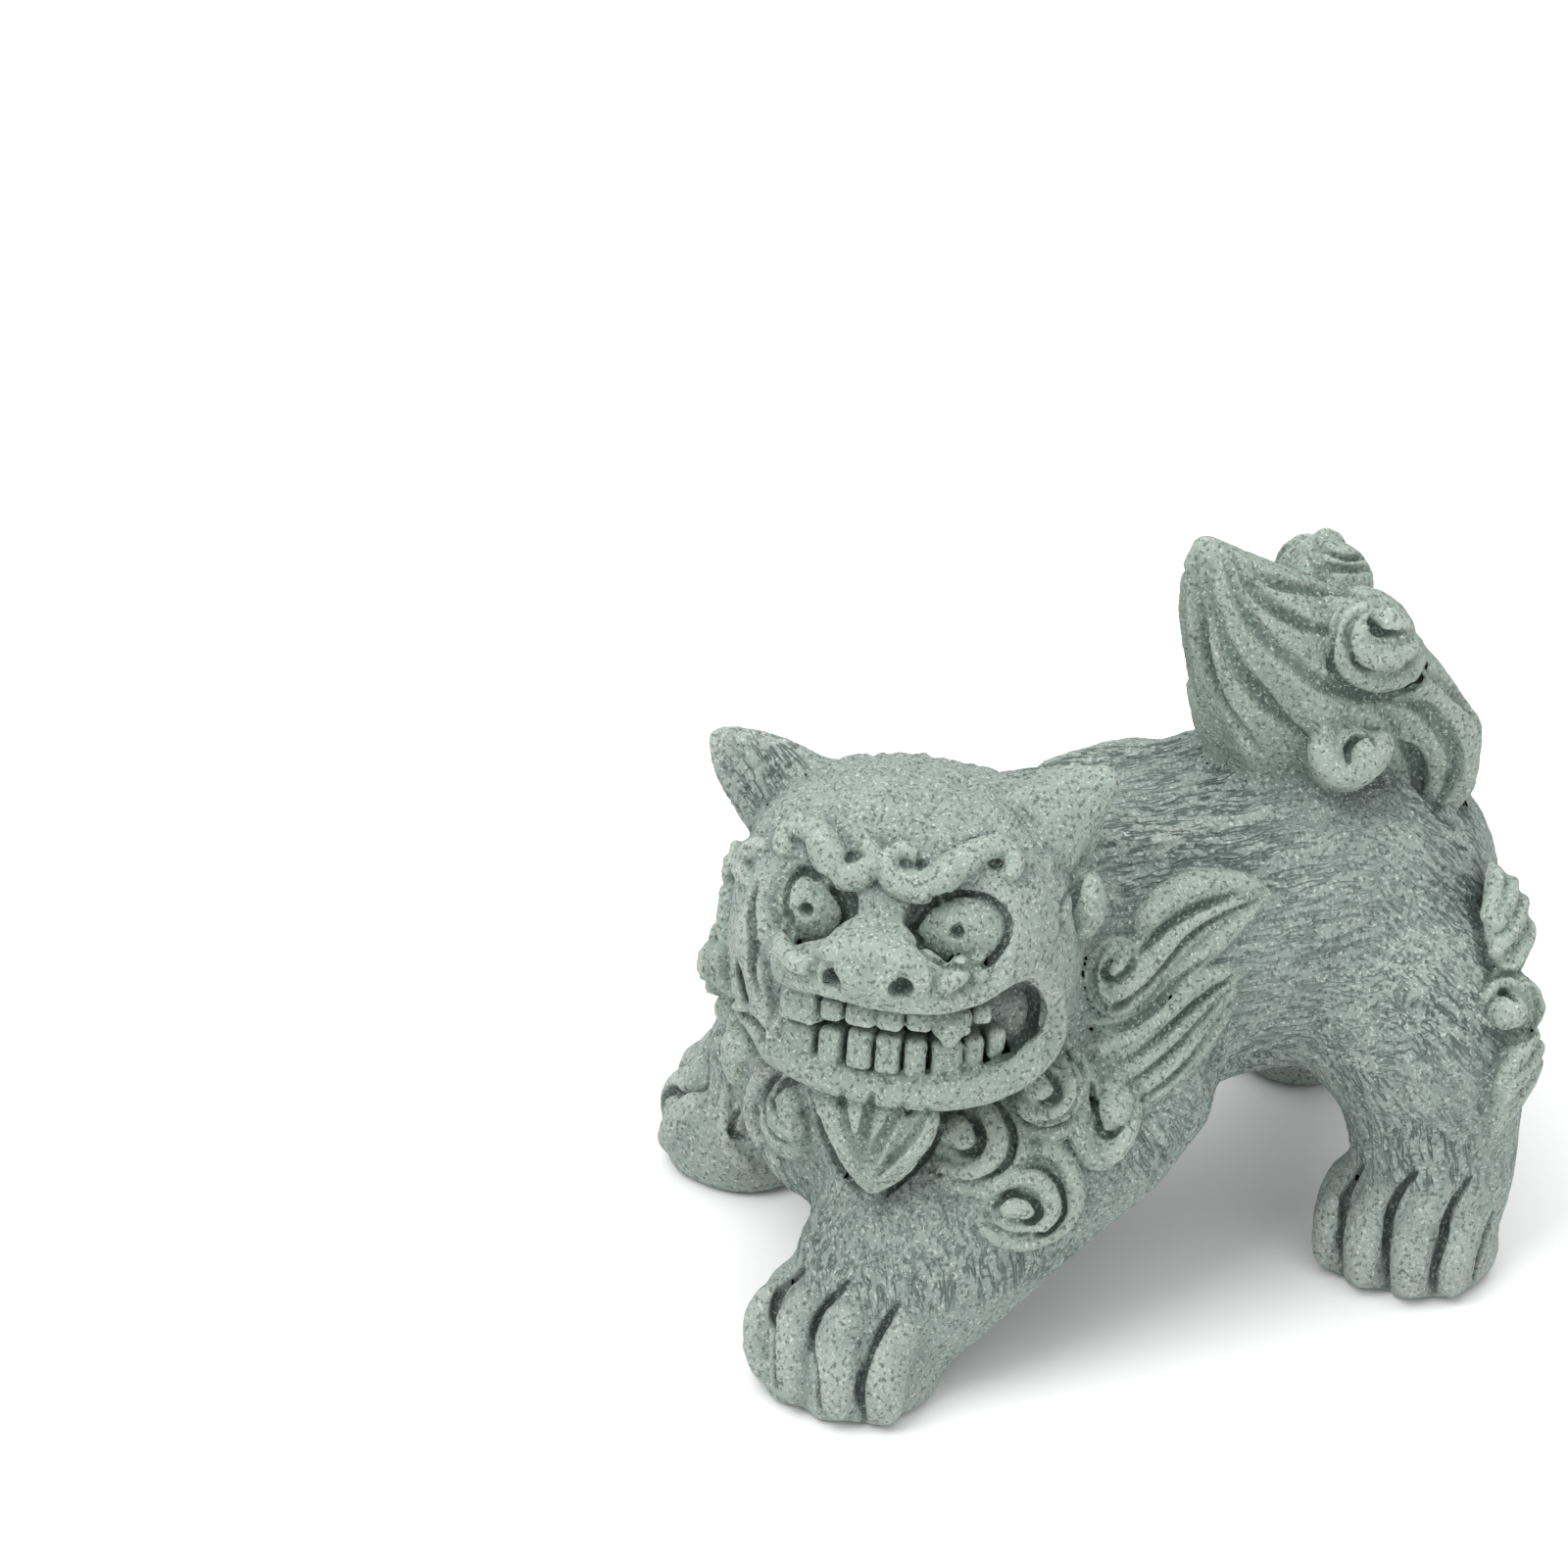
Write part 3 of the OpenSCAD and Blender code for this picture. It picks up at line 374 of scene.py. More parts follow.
def groove(clay, pixels, radius=0.5, depth=0.5, blend=0.35, taper=(0.25, 0.25), mirror=False):
    """A cut under a line of the photograph: tubes stacked from its bed up to the open air."""
    p = path_on(clay, pixels, mirror)
    out = clay.normals(p, clay.rest)
    r = profile(radius, len(p), taper)
    bed, top = radius - depth, max(0.3 * radius, radius - depth)
    for lift in np.arange(bed, top + 0.01, 0.8 * radius):
        where, dist = tube(clay, p + out * (lift * r / r.max())[:, None], r)
        clay.cut(where, dist, blend)


def ball(clay, centre, sizes, axes=None):
    """Distance to an ellipsoid with its half sizes along the given axes."""
    centre = np.asarray(centre, float)
    sizes = np.asarray(sizes, float)
    reach = sizes.max() + FAR
    where, (x, y, z) = clay.region(centre - reach, centre + reach)
    axes = np.eye(3) if axes is None else np.asarray(axes)
    u = [(x - centre[0]) * a[0] + (y - centre[1]) * a[1] + (z - centre[2]) * a[2] for a in axes]
    k = np.sqrt(sum((c / s) ** 2 for c, s in zip(u, sizes)))
    g = np.sqrt(sum((c / s ** 2) ** 2 for c, s in zip(u, sizes)))
    return where, (k * (k - 1) / np.maximum(g, 1e-6)).astype(np.float32)


def block(clay, centre, half, axes, edge):
    """Distance to a box with rounded edges."""
    centre, half = np.asarray(centre, float), np.asarray(half, float)
    reach = np.linalg.norm(half) + FAR
    where, (x, y, z) = clay.region(centre - reach, centre + reach)
    q = [np.abs((x - centre[0]) * a[0] + (y - centre[1]) * a[1] + (z - centre[2]) * a[2]) - max(h - edge,
                                                                                                0.05)
         for a, h in zip(np.asarray(axes), half)]
    out = np.sqrt(sum(np.maximum(c, 0) ** 2 for c in q)) + np.minimum(np.maximum(np.maximum(q[0], q[1]),
                                                                                 q[2]), 0)
    return where, (out - edge).astype(np.float32)


def seen_outline(clay, pixels, low, high):
    """Distance, in the picture, to a closed outline, for the cells between two corners."""
    where, (x, y, z) = clay.region(low, high)
    d = [x - EYE[0], y - EYE[1], z - EYE[2]]
    far = -(d[0] * BACK[0] + d[1] * BACK[1] + d[2] * BACK[2])
    u = PHOTO / 2 + FOCAL * (d[0] * RIGHT[0] + d[1] * RIGHT[1] + d[2] * RIGHT[2]) / far
    v = PHOTO / 2 - FOCAL * (d[0] * UP[0] + d[1] * UP[1] + d[2] * UP[2]) / far
    p = smooth_path(list(pixels) + [pixels[0]], 14.0)
    best = np.full(u.shape, 1e9, np.float32)
    inside = np.zeros(u.shape, bool)
    for a, b in zip(p[:-1], p[1:]):
        e = b - a
        h = np.clip(((u - a[0]) * e[0] + (v - a[1]) * e[1]) / max(float(e @ e), 1e-9), 0, 1)
        np.minimum(best, (u - a[0] - e[0] * h) ** 2 + (v - a[1] - e[1] * h) ** 2, out=best)
        if a[1] != b[1]:
            cross = ((a[1] > v) != (b[1] > v)) & (u < (b[0] - a[0]) * (v - a[1]) / (b[1] - a[1]) + a[0])
            inside ^= cross
    scale = VIEW_DISTANCE / FOCAL
    return where, np.where(inside, -1, 1) * np.sqrt(best) * scale, (x, y, z)


# the head's own frame: where the part's source puts it, how far it turns, and how far it nods
HEAD_AT = np.array([0.163 * STANCE_W + MIDDLE, -0.265 * STANCE_LEN - MIDDLE_BACK_SHARE * STANCE_LEN,
                    0.82 * BACK_H])
HEAD_TURN = math.radians(57)
HEAD_PITCH = math.radians(15)


def head_axes():
    """The head's left, back and up directions."""
    c, s = math.cos(HEAD_TURN), math.sin(HEAD_TURN)
    turn = np.array([[c, -s, 0], [s, c, 0], [0, 0, 1]])
    c, s = math.cos(-HEAD_PITCH), math.sin(-HEAD_PITCH)
    nod = np.array([[1, 0, 0], [0, c, -s], [0, s, c]])
    return (turn @ nod).T


HEAD = head_axes()


def from_head(p):
    """A place given in the head's own directions, as a place in the frame."""
    return HEAD_AT + np.asarray(p) @ HEAD


def to_head(p):
    """A place in the frame, in the head's own directions."""
    return (np.asarray(p) - HEAD_AT) @ HEAD.T


def on_face_plane(pixels, depth):
    """Points of the head's own frame where pixels meet its plane at y = -depth."""
    rays = pixel_rays(pixels)
    o = to_head(EYE[None])[0]
    d = rays @ HEAD.T
    t = (-np.asarray(depth) - o[1]) / d[:, 1]
    return o + d * t[:, None]


# glaze-free stoneware
class Sock:
    """A shader value, so that sums of nodes read as sums."""
    tree = None

    def __init__(self, out):
        self.out = out

    @staticmethod
    def math(op, *args, clamp=False):
        return shader("ShaderNodeMath", dict(enumerate(args)), operation=op, use_clamp=clamp)

    def __add__(self, o):
        return Sock.math("ADD", self, o)

    __radd__ = __add__

    def __sub__(self, o):
        return Sock.math("SUBTRACT", self, o)

    def __rsub__(self, o):
        return Sock.math("SUBTRACT", o, self)

    def __mul__(self, o):
        return Sock.math("MULTIPLY", self, o)

    __rmul__ = __mul__

    def __truediv__(self, o):
        return Sock.math("DIVIDE", self, o)

    def clamp(self):
        return Sock.math("ADD", self, 0.0, clamp=True)

    def between(self, a, b):
        """0 below a, 1 above b."""
        return ((self - a) / (b - a)).clamp()


def shader(kind, inputs=None, out=0, **settings):
    """Any other node: its settings, its inputs by name or place, and one of its outputs."""
    node = Sock.tree.nodes.new(kind)
    for key, value in settings.items():
        setattr(node, key, value)
    for key, value in (inputs or {}).items():
        if isinstance(value, Sock):
            Sock.tree.links.new(value.out, node.inputs[key])
        else:
            node.inputs[key].default_value = value
    return Sock(node.outputs[out])


def mixed(factor, a, b):
    """Colour a, turning to b as the factor goes to 1."""
    a, b = (c if isinstance(c, Sock) else (*c, 1.0) for c in (a, b))
    return shader("ShaderNodeMix", {0: factor, 6: a, 7: b}, 2, data_type="RGBA")


def written(r, g, b):
    """A colour as it is written in a picture, 0 to 255, as light."""
    return tuple((c / 255 / 12.92) if c <= 10 else ((c / 255 + 0.055) / 1.055) ** 2.4 for c in (r, g, b))


def vec(op, a, b, out=0):
    """A sum on vectors; a scale takes its number at another place."""
    return shader("ShaderNodeVectorMath", {0: a, 3 if op == "SCALE" else 1: b}, out, operation=op)


def strokes(place, way, wide=0.0005, long=0.0034):
    """Thin lines drawn out along one way and broken into short strokes."""
    length = math.sqrt(sum(c * c for c in way))
    way = tuple(c / length for c in way)
    along = vec("DOT_PRODUCT", place, way, 1)
    drawn = vec("SUBTRACT", place, vec("SCALE", way, along * (1 - wide / long)))
    line = shader("ShaderNodeTexNoise", {"Vector": drawn, "Scale": 1 / wide, "Detail": 1.0})
    pause = shader("ShaderNodeTexNoise", {"Vector": vec("ADD", drawn, (0.3, 0.2, 0.1)), "Scale": 0.7 / wide,
                                          "Detail": 0.0})
    return (1.0 - Sock.math("ABSOLUTE", line - 0.5).between(0.03, 0.11)) * pause.between(0.44, 0.52)


# the carver's ways: along the back, over the haunch, down the legs, and up the right ear
HAIR_WAYS = [(0.1, 1.0, 0.08), (0.0, 0.6, -0.8), (0.0, 0.12, -1.0), (-0.62, -0.42, 0.66)]
EAR_WAY = 3
# how fine the clay's clouds, grit, pale sand, dark sand and the waves of its hair are, to the metre
CLOUD = 90.0
GRIT = 1300.0
PALE_SAND = 2900.0
DARK_SAND = 2100.0
HAIR_WAVE = 230.0
HAIR_BEND = 0.0012
BUMP_HEIGHT = 0.00028


# deep is the colour of painted shade in hollows and hair strokes; pale is both pale sand and the painted
# light of raised tops
def stoneware(name, body, deep, pale, dark, furry):
    """Unglazed clay full of pale and dark sand, darker in its hollows from painted shade with a little
    darker tone of the clay, darker in the strokes of its hair from painted shade, and paler on its raised
    tops from painted light.
    """
    mat = bpy.data.materials.new(name)
    mat.use_nodes = True
    Sock.tree = mat.node_tree
    bsdf = mat.node_tree.nodes["Principled BSDF"]
    place = shader("ShaderNodeTexCoord", out=3)
    hollow_shade_and_tone = shader("ShaderNodeAttribute", attribute_name="hollow_shade_and_tone", out=2)
    crest_light = shader("ShaderNodeAttribute", attribute_name="crest_light", out=2)
    cloud = shader("ShaderNodeTexNoise", {"Vector": place, "Scale": CLOUD, "Detail": 3.0})
    grain = shader("ShaderNodeTexNoise", {"Vector": place, "Scale": GRIT, "Detail": 3.0, "Roughness": 0.7})
    salt = shader("ShaderNodeTexNoise", {"Vector": place, "Scale": PALE_SAND, "Detail": 2.0,
                                         "Roughness": 0.6})
    soot = shader("ShaderNodeTexNoise", {"Vector": vec("ADD", place, (0.5, 0.1, 0.3)), "Scale": DARK_SAND,
                                         "Detail": 2.0, "Roughness": 0.6})
    white = salt.between(0.56, 0.68)
    black = 1.0 - soot.between(0.34, 0.45)
    colour = mixed(cloud.between(0.35, 0.65), body, tuple(c * 1.10 for c in body))
    colour = mixed(grain.between(0.40, 0.62) * 0.45, colour, tuple(c * 0.74 for c in body))
    # painted shade in hollows and broad dips, with a little darker tone of the clay
    colour = mixed(hollow_shade_and_tone.clamp() * 0.82, colour, deep)
    # painted light on raised tops
    colour = mixed(crest_light.clamp() * 0.36, colour, pale)
    colour = mixed(white * 0.62, colour, pale)
    colour = mixed(black * 0.7, colour, dark)
    height = grain * 0.5 + salt * 0.5 - black * 0.25
    if furry:
        fur = shader("ShaderNodeAttribute", attribute_name="fur", out=2)
        lie = shader("ShaderNodeAttribute", attribute_name="lie", out=2)
        wave = shader("ShaderNodeTexNoise", {"Vector": place, "Scale": HAIR_WAVE, "Detail": 1.0}, out=1)
        bent = vec("ADD", place, vec("SCALE", vec("SUBTRACT", wave, (0.5, 0.5, 0.5)), HAIR_BEND))
        turn = lie + (cloud - 0.5) * 1.2
        share, cut = 1.0, 0.0
        for k, way in enumerate(HAIR_WAYS):
            next_share = turn.between(k + 0.45, k + 0.55) if k < EAR_WAY else 0.0
            cut = strokes(bent, way) * (share - next_share) + cut
            share = next_share
        cut = cut * fur
        # painted shade in the strokes of the hair, which are otherwise only bumps
        colour = mixed((cut * 0.8).clamp(), colour, deep)
        height = height - cut * 0.9
    bump = shader("ShaderNodeBump", {"Height": height, "Strength": 0.8, "Distance": BUMP_HEIGHT})
    rough = 0.82 + (grain - 0.5) * 0.12 - white * 0.08
    bsdf.inputs["Specular IOR Level"].default_value = 0.32
    for key, value in (("Base Color", colour), ("Roughness", rough), ("Normal", bump)):
        mat.node_tree.links.new(value.out, bsdf.inputs[key])
    return mat


# second colour: painted shade of hollows and hair strokes, with a little darker tone of the clay; third:
# pale sand and the painted light of raised tops
BODY = stoneware("body_stoneware", written(137, 149, 144), written(66, 82, 79),
                 written(206, 211, 205), written(66, 75, 73), True)
RELIEF = stoneware("relief_stoneware", written(131, 145, 138), written(62, 82, 76),
                   written(204, 212, 203), written(62, 74, 70), False)


# the lump: every node's solid, joined softly
LIMBS = ["torso", "front_leg_left", "front_leg_right", "hind_leg_left", "hind_leg_right"]
PAWS = ["front_paw_left", "front_paw_right", "hind_paw_left", "hind_paw_right"]
FACE = ["lower_jaw", "muzzle"]
EARS = ["ear_left", "ear_right"]
TAIL = ["tail_rear_left", "tail_rear_right"]
FURRY = ["ear_right", "nape_lock_left", "nape_lock_right"]


# how far the seams of the lump are smoothed
SEAM = 0.65
# from here on the left ear is pulled towards the tip that the photograph shows
EAR_ROOT = (10.0, 8.0)
EAR_PULL = 1.3


def add_ear(clay, node):
    """An ear of the frame; the left one reaches the tip in the photograph."""
    points, triangles = node_triangles(node)
    if node == "ear_left":
        h = to_head(points)
        tip = h[h[:, 0].argmax()]
        root = np.array([EAR_ROOT[0], tip[1], EAR_ROOT[1]])
        goal = on_face_plane([EAR_TIP], -tip[1])[0]
        way = tip - root
        share = np.clip((h - root) @ way / (way @ way), 0, 1)
        points = from_head(h + share[:, None] ** EAR_PULL * (goal - tip)).astype(np.float32)
        clay.ear_tip = from_head(goal)
    add_mesh(clay, node, points, triangles, 2.2)


def build_lump():
    """The solids of the frame as one lump, with soft seams; small relief comes later."""
    box = [np.array(b) / MM for b in cad_box]
    clay = Clay(box[0] - [MARGIN, MARGIN, 1.0], box[1] + MARGIN, STEP)
    for node in LIMBS:
        add_node(clay, node, 2.6)
    add_node(clay, "head", 1.2)
    for node in PAWS:
        add_node(clay, node, 0.8)
    for node in FACE:
        add_node(clay, node, 1.0)
    add_node(clay, "tail_plume", 1.2)
    for node in TAIL:
        add_node(clay, node, 0.8)
    for node in EARS:
        add_ear(clay, node)
    clay.field = blurred(clay.field, cells_in(SEAM))
    clay.rest = clay.field.copy()
    clay.core = clay.field.copy()
    return clay


# carved ornaments: lines of the photograph in its pixels, laid on the lump under the camera
MOUTH = [(806, 1014), (843, 1017), (904, 1028), (964, 1032), (1008, 1021), (1036, 1003), (1050, 1001),
         (1064, 1020), (1062, 1049), (1030, 1076), (978, 1094), (904, 1093), (835, 1078), (803, 1054)]
UPPER_TEETH = [(823, 1022, 40, 32), (855, 1026, 22, 22), (882, 1031, 28, 23), (910, 1036, 25, 22),
               (938, 1037, 24, 21), (969, 1038, 36, 27), (998, 1030, 18, 19)]
FANG_TIP = ([1.6, 0.9], [(969, 1046), (969, 1060)])
LOWER_TEETH = [(822, 1060, 38, 42), (853, 1063, 25, 36), (881, 1066, 26, 38), (908, 1071, 25, 38),
               (934, 1075, 22, 37), (964, 1078, 31, 40), (990, 1070, 20, 34), (1012, 1060, 18, 30)]
CHEEK_ENDS = [(776, 950), (802, 1064)]
TEETH_DEPTH = (16.2, 14.6)
TEETH_BOW = 0.030
LOWER_LIP = ([1.3, 1.7, 1.9, 2.0, 2.0, 1.9, 1.7, 1.4], [(786, 1010), (790, 1046), (812, 1078), (864, 1100),
                                                        (938, 1114),
                                              (1004, 1109), (1052, 1084), (1078, 1050), (1080, 1012)])
UPPER_LIP = ([0.8, 1.1, 1.2, 1.1, 0.8], [(812, 1004), (850, 1009), (904, 1021), (958, 1025), (1000, 1014),
                                         (1028, 996)])
EYES = {
    "eye_left": ((979, 949), (5.5, 4.3, 3.7), 2.9, (976, 952),
                 [(931, 949), (949, 922), (979, 911), (1008, 918), (1027, 938), (1024, 962), (1004, 984),
                  (968, 984), (944, 971)]),
    "eye_right": ((833, 927), (4.6, 4.6, 3.6), 2.7, (822, 929),
                  [(800, 935), (803, 905), (821, 889), (846, 902), (864, 929), (856, 956), (834, 966),
                   (812, 956)])}
BROWS = {
    "brow_right": ([1.0, 1.1, 1.3, 1.7, 1.8, 1.5, 1.1, 0.9],
                   [(806, 872), (800, 860), (808, 848), (822, 846), (836, 853), (848, 874), (862, 890),
                    (878, 893), (891, 881), (888, 868), (877, 865)]),
    "brow_left": ([0.8, 1.0, 1.3, 1.7, 1.7, 1.6, 1.4, 1.1, 1.0],
                  [(934, 880), (929, 871), (918, 869), (907, 881), (912, 897), (932, 904), (957, 896),
                   (981, 881), (1002, 870), (1020, 867), (1032, 876), (1032, 888), (1022, 893)])}
BROW_HOLES = [(868, 876), (941, 884), (1014, 881)]
NOSTRILS = [((848, 999), (1.1, 1.9, 0.95)), ((919, 1009), (1.2, 1.9, 1.0))]
NOSE_WINGS = [((846, 991), 2.2), ((934, 1000), 2.3), ((872, 1000), 2.0), ((897, 1006), 2.0)]
WHISKERS = {
    "whisker_right": ([0.9, 1.1, 1.1, 0.9], [(832, 986), (816, 982), (800, 968), (804, 956), (815, 960)]),
    "whisker_left": ([0.9, 1.1, 1.2, 1.0], [(956, 1008), (972, 998), (984, 984), (1000, 986), (998, 1000)])}
FACE_LINES = [
    (0.8, 1.0, [(1050, 1012), (1056, 1030), (1050, 1052), (1030, 1074), (1012, 1084)]),
    (0.4, 0.5, [(840, 972), (829, 986), (832, 1004)]),
    (0.4, 0.5, [(946, 982), (957, 996), (950, 1014)]),
    (0.4, 0.45, [(884, 945), (903, 947), (926, 951)]),
    (0.5, 0.6, [(775, 962), (783, 996), (790, 1030), (786, 1046)]),
    (0.45, 0.5, [(1094, 905), (1086, 922), (1084, 940), (1092, 956)])]
EAR_TIP = (1137, 791)
EAR_ROOTS = [(1046, 822), (1068, 846), (1084, 866)]
SCALLOPS = {
    "side_curl_right_upper": [([0.9, 1.2, 1.2, 0.9], [(786, 862), (768, 868), (758, 884), (764, 900)])],
    "side_curl_right_middle": [([0.9, 1.3, 1.3, 0.9], [(764, 905), (745, 912), (735, 932), (739, 952),
                                                       (752, 960)]),
                               ([0.9, 1.3, 1.3, 0.9], [(752, 962), (738, 972), (732, 992), (739, 1010),
                                                       (754, 1014)])]}
SIDEBURN = [([1.4, 2.0, 2.0, 1.5], [(1106, 896), (1108, 912), (1107, 930), (1100, 948)])]
UPPER_FLAME = [
    ([1.0, 2.4, 2.9, 2.9, 2.4], [(1270, 914), (1232, 930), (1196, 955), (1168, 985), (1140, 1020)], -1.5,
     1.0),
    ([0.5, 1.4, 1.8, 1.8, 1.4], [(1296, 909), (1262, 902), (1225, 904), (1190, 920), (1160, 948)]),
    ([0.5, 1.1, 1.3, 1.3, 1.1], [(1290, 915), (1251, 923), (1215, 941), (1187, 966), (1168, 990),
                                 (1155, 1012)]),
    ([0.5, 1.1, 1.25, 1.25, 1.1], [(1291, 918), (1269, 938), (1240, 962), (1211, 987), (1186, 1018),
                                   (1162, 1040),
                                   (1135, 1048), (1110, 1041)])]
LOWER_FLAME = [
    ([1.0, 2.6, 3.0, 2.2], [(1256, 1004), (1212, 1036), (1168, 1076), (1136, 1092)], -1.8, 1.0),
    ([0.6, 1.4, 1.6, 1.4, 1.0], [(1262, 990), (1228, 997), (1196, 1022), (1165, 1050), (1130, 1068),
                                 (1106, 1070)]),
    ([0.5, 1.0, 1.1, 1.0, 0.7], [(1269, 994), (1246, 1012), (1218, 1040), (1190, 1066), (1160, 1090),
                                 (1132, 1106)]),
    ([0.4, 0.9, 1.0, 0.7], [(1264, 1006), (1240, 1036), (1214, 1068), (1184, 1096), (1158, 1116)]),
    ([0.3, 0.7, 0.7, 0.5], [(1257, 1028), (1236, 1060), (1210, 1090), (1182, 1114), (1166, 1127)])]
FLAME_GROOVES = [
    (0.5, 0.85, [(1262, 912), (1238, 920), (1215, 929), (1188, 947), (1168, 967), (1160, 980)]),
    (0.45, 0.85, [(1284, 919), (1251, 934), (1217, 956), (1193, 983), (1171, 1008), (1146, 1026),
                  (1128, 1031),
                (1116, 1016), (1114, 993), (1122, 972), (1136, 962), (1153, 967)]),
    (0.5, 0.8, [(1238, 976), (1206, 1000), (1180, 1026), (1150, 1046), (1112, 1050)]),
    (0.45, 0.7, [(1252, 1000), (1216, 1028), (1190, 1053), (1160, 1077), (1128, 1090)]),
    (0.4, 0.65, [(1262, 1003), (1228, 1041), (1200, 1071), (1172, 1094), (1148, 1108)]),
    (0.4, 0.6, [(1257, 1022), (1228, 1065), (1203, 1093), (1178, 1114), (1163, 1124)])]
SHOULDER_SPIRAL = [
    ([1.1, 1.2, 1.2, 1.1, 0.9], [(1160, 1012), (1143, 1027), (1126, 1020), (1117, 1001), (1119, 982),
                                 (1131, 968),
                                 (1146, 966), (1157, 976)]),
    ([1.2, 1.3, 1.1], [(1137, 1001), (1141, 990), (1148, 984)])]
NECK_CURL = [
    ([0.9, 1.1, 1.1, 0.9], [(1078, 1078), (1094, 1100), (1092, 1124), (1074, 1138), (1052, 1136),
                            (1040, 1120)]),
    ([0.8, 1.0, 1.0, 0.8], [(1089, 1066), (1110, 1100), (1108, 1130), (1084, 1153), (1054, 1153),
                            (1036, 1143)]),
    ([1.2, 1.5, 1.2], [(1047, 1096), (1056, 1107), (1060, 1116)])]
CHEST_CURL = [
    ([1.0, 1.2, 1.2, 1.0], [(998, 1122), (1013, 1146), (1016, 1172), (1000, 1192), (976, 1196),
                            (957, 1184)]),
    ([0.8, 1.0, 1.0, 0.8], [(1018, 1116), (1038, 1146), (1040, 1178), (1018, 1204), (990, 1212),
                            (960, 1204)]),
    ([1.3, 1.6, 1.3], [(966, 1152), (980, 1154), (984, 1164)])]
LEG_CURL = [
    ([1.0, 1.1, 1.1, 1.0], [(1005, 1222), (1022, 1205), (1046, 1200), (1066, 1212), (1072, 1234),
                            (1058, 1250),
                            (1034, 1254), (1014, 1243)]),
    ([0.9, 1.1, 1.1, 0.9, 0.7], [(1046, 1176), (1072, 1172), (1092, 1194), (1096, 1226), (1078, 1254),
                                 (1044, 1268), (1012, 1260), (998, 1240)]),
    ([1.1, 1.3, 1.1], [(1026, 1233), (1038, 1230), (1048, 1236)])]
HOOK_CURL = [
    ([0.8, 1.2, 1.3, 1.2, 0.9], [(1106, 1092), (1100, 1120), (1100, 1148), (1108, 1172), (1122, 1182),
                                 (1142, 1168),
                                 (1154, 1140), (1158, 1112)]),
    ([1.6, 1.9, 1.6], [(1136, 1112), (1138, 1124), (1136, 1138)])]
THROAT_CURL = [
    ([0.9, 1.2, 1.2, 1.0, 0.8], [(796, 1078), (776, 1104), (770, 1136), (780, 1164), (800, 1174),
                                 (824, 1168)]),
    ([1.4, 1.9, 1.6], [(812, 1118), (806, 1136), (814, 1150)]),
    ([0.7, 0.9, 0.9], [(742, 1108), (740, 1146), (748, 1176), (768, 1194)]),
    ([0.8, 1.0], [(757, 1130), (752, 1150)])]
KNOB_CURL = [
    ([1.7, 1.9, 1.7], [(752, 1062), (757, 1064), (760, 1068)]),
    ([0.6, 0.8, 0.8, 0.7], [(729, 1055), (734, 1038), (756, 1030), (780, 1042), (786, 1062)])]
HAUNCH_UPPER = [
    ([0.7, 0.9, 0.9], [(1528, 886), (1526, 912), (1517, 938)]),
    ([0.6, 0.9, 0.9], [(1546, 892), (1540, 920), (1524, 948)]),
    ([0.6, 0.9, 0.9], [(1557, 912), (1548, 942), (1522, 975)]),
    ([0.6, 0.9, 0.9], [(1564, 938), (1558, 962), (1541, 986), (1522, 1004)])]
HAUNCH_SPIRAL = [
    ([1.5, 1.9, 1.6], [(1533, 1034), (1539, 1032), (1544, 1030)]),
    ([0.8, 1.0, 1.0, 0.8], [(1514, 1022), (1524, 1006), (1545, 1002), (1562, 1014), (1567, 1034),
                            (1556, 1052),
                            (1534, 1058), (1516, 1050)])]
HAUNCH_LOWER = [
    ([0.8, 1.0, 0.6], [(1570, 1048), (1552, 1074), (1535, 1098), (1526, 1112)]),
    ([0.8, 1.0, 0.6], [(1573, 1060), (1559, 1088), (1541, 1112), (1534, 1126)]),
    ([0.7, 0.9, 0.5], [(1570, 1080), (1560, 1104), (1550, 1124)])]
TAIL_UPPER = [
    ([1.2, 1.5, 1.5, 1.3, 1.0], [(1398, 617), (1376, 630), (1367, 655), (1378, 682), (1403, 694),
                                 (1432, 688),
                                 (1453, 672)]),
    ([1.0, 1.3, 1.3, 1.1], [(1404, 620), (1388, 638), (1387, 658), (1404, 672), (1428, 668), (1446, 652)]),
    ([1.2, 1.5, 1.4], [(1414, 626), (1420, 636), (1430, 640)])]
TAIL_LOWER = [
    ([1.4, 1.7, 1.7, 1.6, 1.3, 1.1], [(1352, 744), (1349, 766), (1360, 785), (1380, 788), (1400, 776),
                                      (1410, 757),
                                      (1402, 738), (1382, 732)]),
    ([1.0, 1.2, 1.0], [(1386, 770), (1393, 766), (1397, 758)])]
